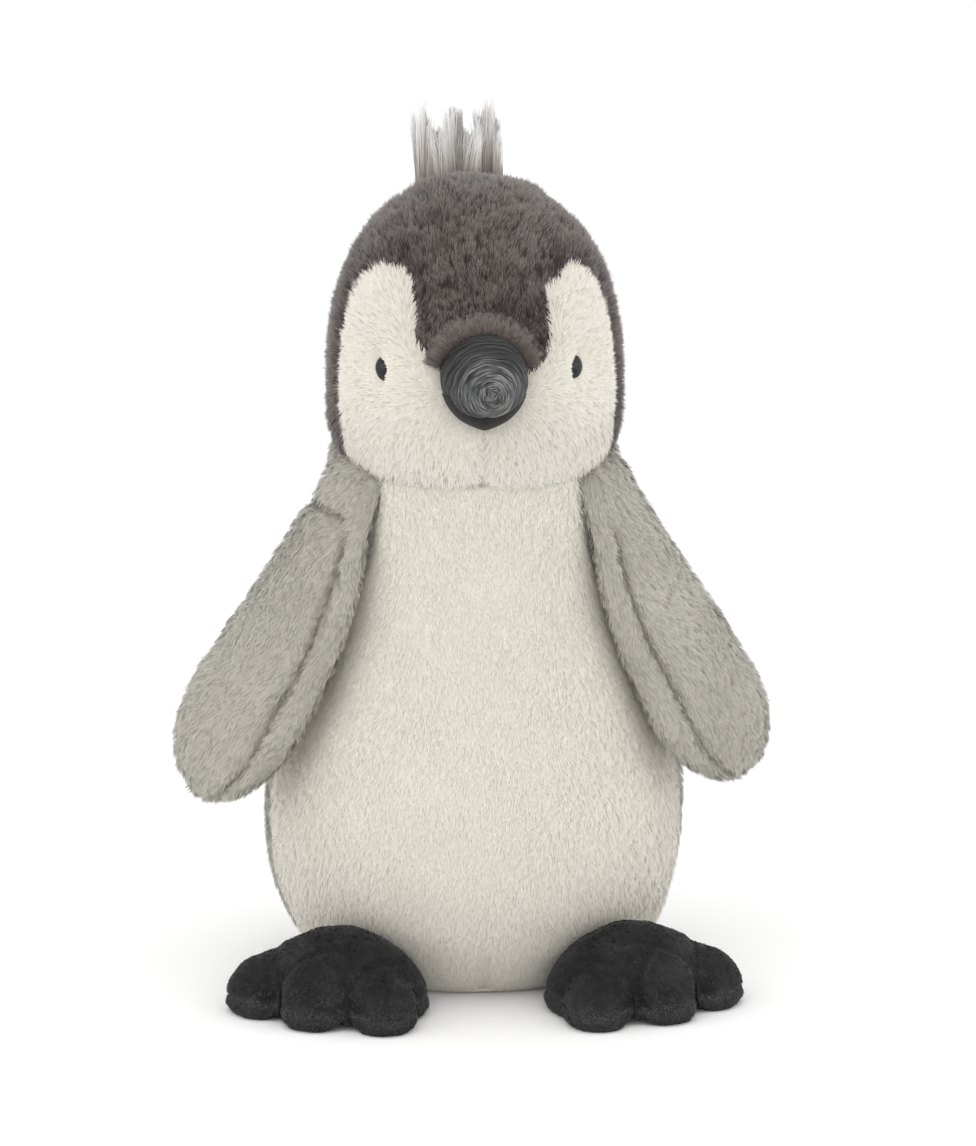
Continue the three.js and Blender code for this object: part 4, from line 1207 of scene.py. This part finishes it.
def sculpt_foot(v):
    """Pinches the toes apart, creases the cloth towards the stitches and sinks the edge seam."""
    v = v.copy()
    v[:, 2] = np.clip(v[:, 2], 0, None)
    centre = np.array([0, -32.0])  # of the foot's outline
    for k in (-1, 1):
        ahead, along, off = toe_gap(v, TOE_SPREAD * k / 2)
        groove = 2.2 * bell(off, 3.0) * smoothstep(along, 44, 58)
        v[:, 2] -= groove * smoothstep(v[:, 2], 4, 14)
        pinch = bell(off, 5.0) * smoothstep(along, 40, 56) * bell(v[:, 2] - 5, 10)
        v[:, :2] -= ahead * (6.0 * pinch)[:, None]
        v[:, 2] += 5.2 * pinch * (1 - smoothstep(v[:, 2], 3, 12))
        for lean in (-1, 1):  # two short creases fan out from each stitch over the toes
            ray = np.abs(off - lean * (56 - along) * 0.9)
            v[:, 2] -= 1.1 * bell(ray, 2.1) * smoothstep(along, 30, 46) * smoothstep(v[:, 2], 6, 12)
    outward = unit(v[:, :2] - centre)
    rim = bell(v[:, 2] - FOOT_SEAM_Z, 1.2)
    v[:, :2] -= outward * (1.0 * rim)[:, None]
    puff = wobble(v, 24, 71) * 0.8 + wobble(v, 10, 72) * 0.35
    v[:, 2] += puff * smoothstep(v[:, 2], 8, 20)
    under = 1 - smoothstep(v[:, 2], 0, 4)
    v[:, :2] -= outward * (1.8 * under)[:, None]
    v[:, 2] = np.maximum(v[:, 2], 0.25)
    return v


def stitch_line(skin, turn):
    """Where a toe stitch lies: up the front of the foot from under its edge, in the foot's frame."""
    ahead, along, off = toe_gap(skin, turn)
    line = []
    for z in np.linspace(2.0, 13.0, 9):
        near = (np.abs(off) < 2.0) & (np.abs(skin[:, 2] - z) < 1.2) & (along > 30)
        if near.any():
            line.append([*(ahead * (along[near].max() + 0.25)), z])
    return np.array(line)


def thread_tube(line, radius=0.55, segments=10):
    """A closed tube along a line of points."""
    line = catmull(line, 3)
    along = unit(np.gradient(line, axis=0))
    across = unit(np.cross(along, (0.3, 0.2, 0.1)))
    third = np.cross(along, across)
    size = radius * np.ones(len(line))
    size[[0, -1]] = 0.05  # the ends close to a point
    around = circle(across[:, None], third[:, None], segments)
    return grid_skin(line[:, None] + size[:, None, None] * around, wrap=True, flip=True)


def foot_place(v):
    """Points of the foot's own frame, carried to the left foot's place on the body."""
    heel = np.array([math.cos(FOOT_AROUND), BODY_DEPTH * math.sin(FOOT_AROUND)]) * body_half_width(10.0)
    c, s = math.cos(FOOT_HEADING), math.sin(FOOT_HEADING)
    x, y = v[:, 0] * c - v[:, 1] * s + heel[0], v[:, 0] * s + v[:, 1] * c + heel[1]
    return out_of_body(np.stack([x, y, v[:, 2]], axis=1), 2.0)


def forwards(spot, normal):
    return swayed([0, -0.5, -0.8], normal, spot, 0.6, 16, 75)


def rubbed_nap(spot, normal):
    """The nap is paler where it rubs, on the toes' fronts over the edge seam."""
    front = smoothstep(-normal[:, 1], 0.2, 0.9)
    return -0.2 + 0.8 * front * bell(spot[:, 2] - FOOT_SEAM_Z - 3.5, 4.5) * (0.6 + 0.6 * wobble(spot, 7, 76))


def make_feet():
    v, f = foot_solid()
    v = sculpt_foot(v)
    whole = Skin(foot_place(v), f)
    whole = facing_out(whole, whole.v.mean(axis=0))
    height = whole.v[whole.f][:, :, 2].mean(axis=1)
    stitches = [thread_tube(foot_place(stitch_line(v, TOE_SPREAD * k / 2))) for k in (1, -1)]
    for name, side in BOTH:
        both = mirror_skin(whole, side)
        for piece, chosen in (("upper", height >= FOOT_SEAM_Z), ("sole", height < FOOT_SEAM_Z)):
            label = f"foot_{piece}_{name}"
            plush_panel(label, label, sub_skin(both, chosen), "nap", forwards, f"foot_{name}", 0.8,
                        seed=400 + side, tint=rubbed_nap)
        fill = Skin(both.v, both.f)
        fill.press(np.full(len(fill.v), 1.8))
        fill.v[:, 2] = np.maximum(fill.v[:, 2], 1.8)
        obj = new_mesh(f"foot_fibre_{name}", fill.v, fill.f)
        finish_piece(obj, FIBRE, f"foot_{name}", (f"foot_stuffing_{name}",))
        for place, tube in zip(("outer", "inner"), stitches):
            thread = mirror_skin(tube, side)
            obj = new_mesh(f"toe_thread_{place}_{name}", thread.v, thread.f)
            finish_piece(obj, THREAD, f"foot_{name}", (f"toe_stitch_{place}_{name}",))


# ---- label

def make_label():
    """A blank satin ribbon folded in half, with both its ends caught in the centre-back seam."""
    low, high = (np.array(corner) / MM - (0, AXIS_Y, 0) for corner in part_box("care_label"))
    half = (high[0] - low[0]) / 2 + LABEL_THICK
    turn = np.linspace(0, math.pi, 11)[1:-1]
    along = np.linspace(low[1], high[1] - half, 18)
    straight = np.full(len(along), half)
    x = np.concatenate([straight, half * np.cos(turn), -straight])
    y = np.concatenate([along, along[-1] + half * np.sin(turn), along[::-1]])
    z = np.linspace(low[2], high[2], 20)[:, None]
    out = (y - low[1]) / (high[1] - low[1])
    curl = LABEL_CURL * out ** 2 * np.sin((z - low[2]) / (high[2] - low[2]) * 2.4 + 0.3)
    y, z = y + 0 * z, z - LABEL_SAG * out ** 2
    inside = np.stack([curl, y, z], axis=2).reshape(-1, 3)
    skin = facing_out(grid_skin(np.stack([x + curl, y, z], axis=2)), inside)
    obj = cloth_piece("care_label_ribbon", skin, LABEL_THICK)
    finish_piece(obj, SATIN, "torso", ("care_label",))


# ---- what is inside

def soft_copy(node, name, body, voxel, inset, bumps, seed, material=FIBRE):
    """A stuffed core as a soft lumpy form, inset from its CAD solid by as much as the seams sink."""
    obj = new_object(name, bpy.data.objects[node].data.copy())
    v, n = remeshed(obj, voxel * MM, 6)
    depth = (inset + bumps * (0.5 + 0.5 * wobble(v / MM, 12, seed))) * MM
    obj.data.vertices.foreach_set("co", (v - n * depth[:, None]).ravel())
    obj.data.update()
    finish_piece(obj, material, body, (node,))


def make_inside():
    soft_copy("body_stuffing", "body_fibre", "torso", 3.0, 2.6, 1.2, 81)
    soft_copy("pellet_pouch", "pellet_bag", "torso", 2.5, 0.3, 1.0, 82, LINING)
    soft_copy("neck_stuffing", "neck_fibre", "neck", 1.5, 0.3, 0.6, 83)
    soft_copy("head_stuffing", "head_fibre", "head", 2.5, 3.6, 1.0, 84)
    soft_copy("beak_stuffing", "beak_fibre", "head", 1.2, 0.8, 0.4, 85)


# ---- stage

def make_stage():
    mesh = bpy.data.meshes.new("floor")
    far = 60  # metres to each edge
    mesh.from_pydata([(-far, -far, 0), (far, -far, 0), (far, far, 0), (-far, far, 0)], [], [(0, 1, 2, 3)])
    floor = new_object("floor", mesh)
    m = Nodes("floor", 0.9, specular=0.0)
    m.shader.inputs["Base Color"].default_value = (0.86, 0.86, 0.86, 1)
    floor.data.materials.append(m.material)
    world = bpy.data.worlds.new("studio")
    world.use_nodes = True
    sky = world.node_tree.nodes["Background"].inputs
    sky["Color"].default_value, sky["Strength"].default_value = (1, 1, 1, 1), 1.2
    bpy.context.scene.world = world
    lamps = (("key", (-0.9, -1.3, 1.7), 1.3, 4.0), ("front", (0.4, -1.9, 0.6), 1.2, 4.0),
             ("top", (0, 0.2, 2.0), 1.2, 2.5), ("left_side", (-1.7, -0.6, 0.5), 1.2, 4.4),
             ("right_side", (1.7, -0.6, 0.5), 1.2, 4.4))
    for name, place, size, power in lamps:  # metres and watts
        light = bpy.data.lights.new(name, "AREA")
        light.size, light.energy = size, power
        lamp = new_object(name, light)
        lamp.location = place
        middle = Vector((0, 0, 0.17))  # of the toy
        lamp.rotation_euler = (middle - Vector(place)).to_track_quat("-Z", "Y").to_euler()


def make_camera():
    target = Vector(to_frame((5.6, 0, 164)))
    yaw, pitch, distance = math.radians(-4), math.radians(10), 1.67
    away = Vector((math.sin(yaw) * math.cos(pitch), -math.cos(yaw) * math.cos(pitch), math.sin(pitch)))
    camera = bpy.data.cameras.new("camera")
    camera.sensor_fit, camera.sensor_height, camera.lens = "VERTICAL", 36, 128
    obj = new_object("camera", camera)
    obj.location = target + away * distance
    obj.rotation_euler = (-away).to_track_quat("-Z", "Y").to_euler()
    bpy.context.scene.camera = obj
    bpy.context.scene.view_settings.view_transform = "Standard"


make_camera()
make_stage()
make_body()
make_head()
make_brow()
make_beak()
make_eyes()
make_crest()
make_flippers()
make_flipper_fill()
make_feet()
make_inside()
make_label()
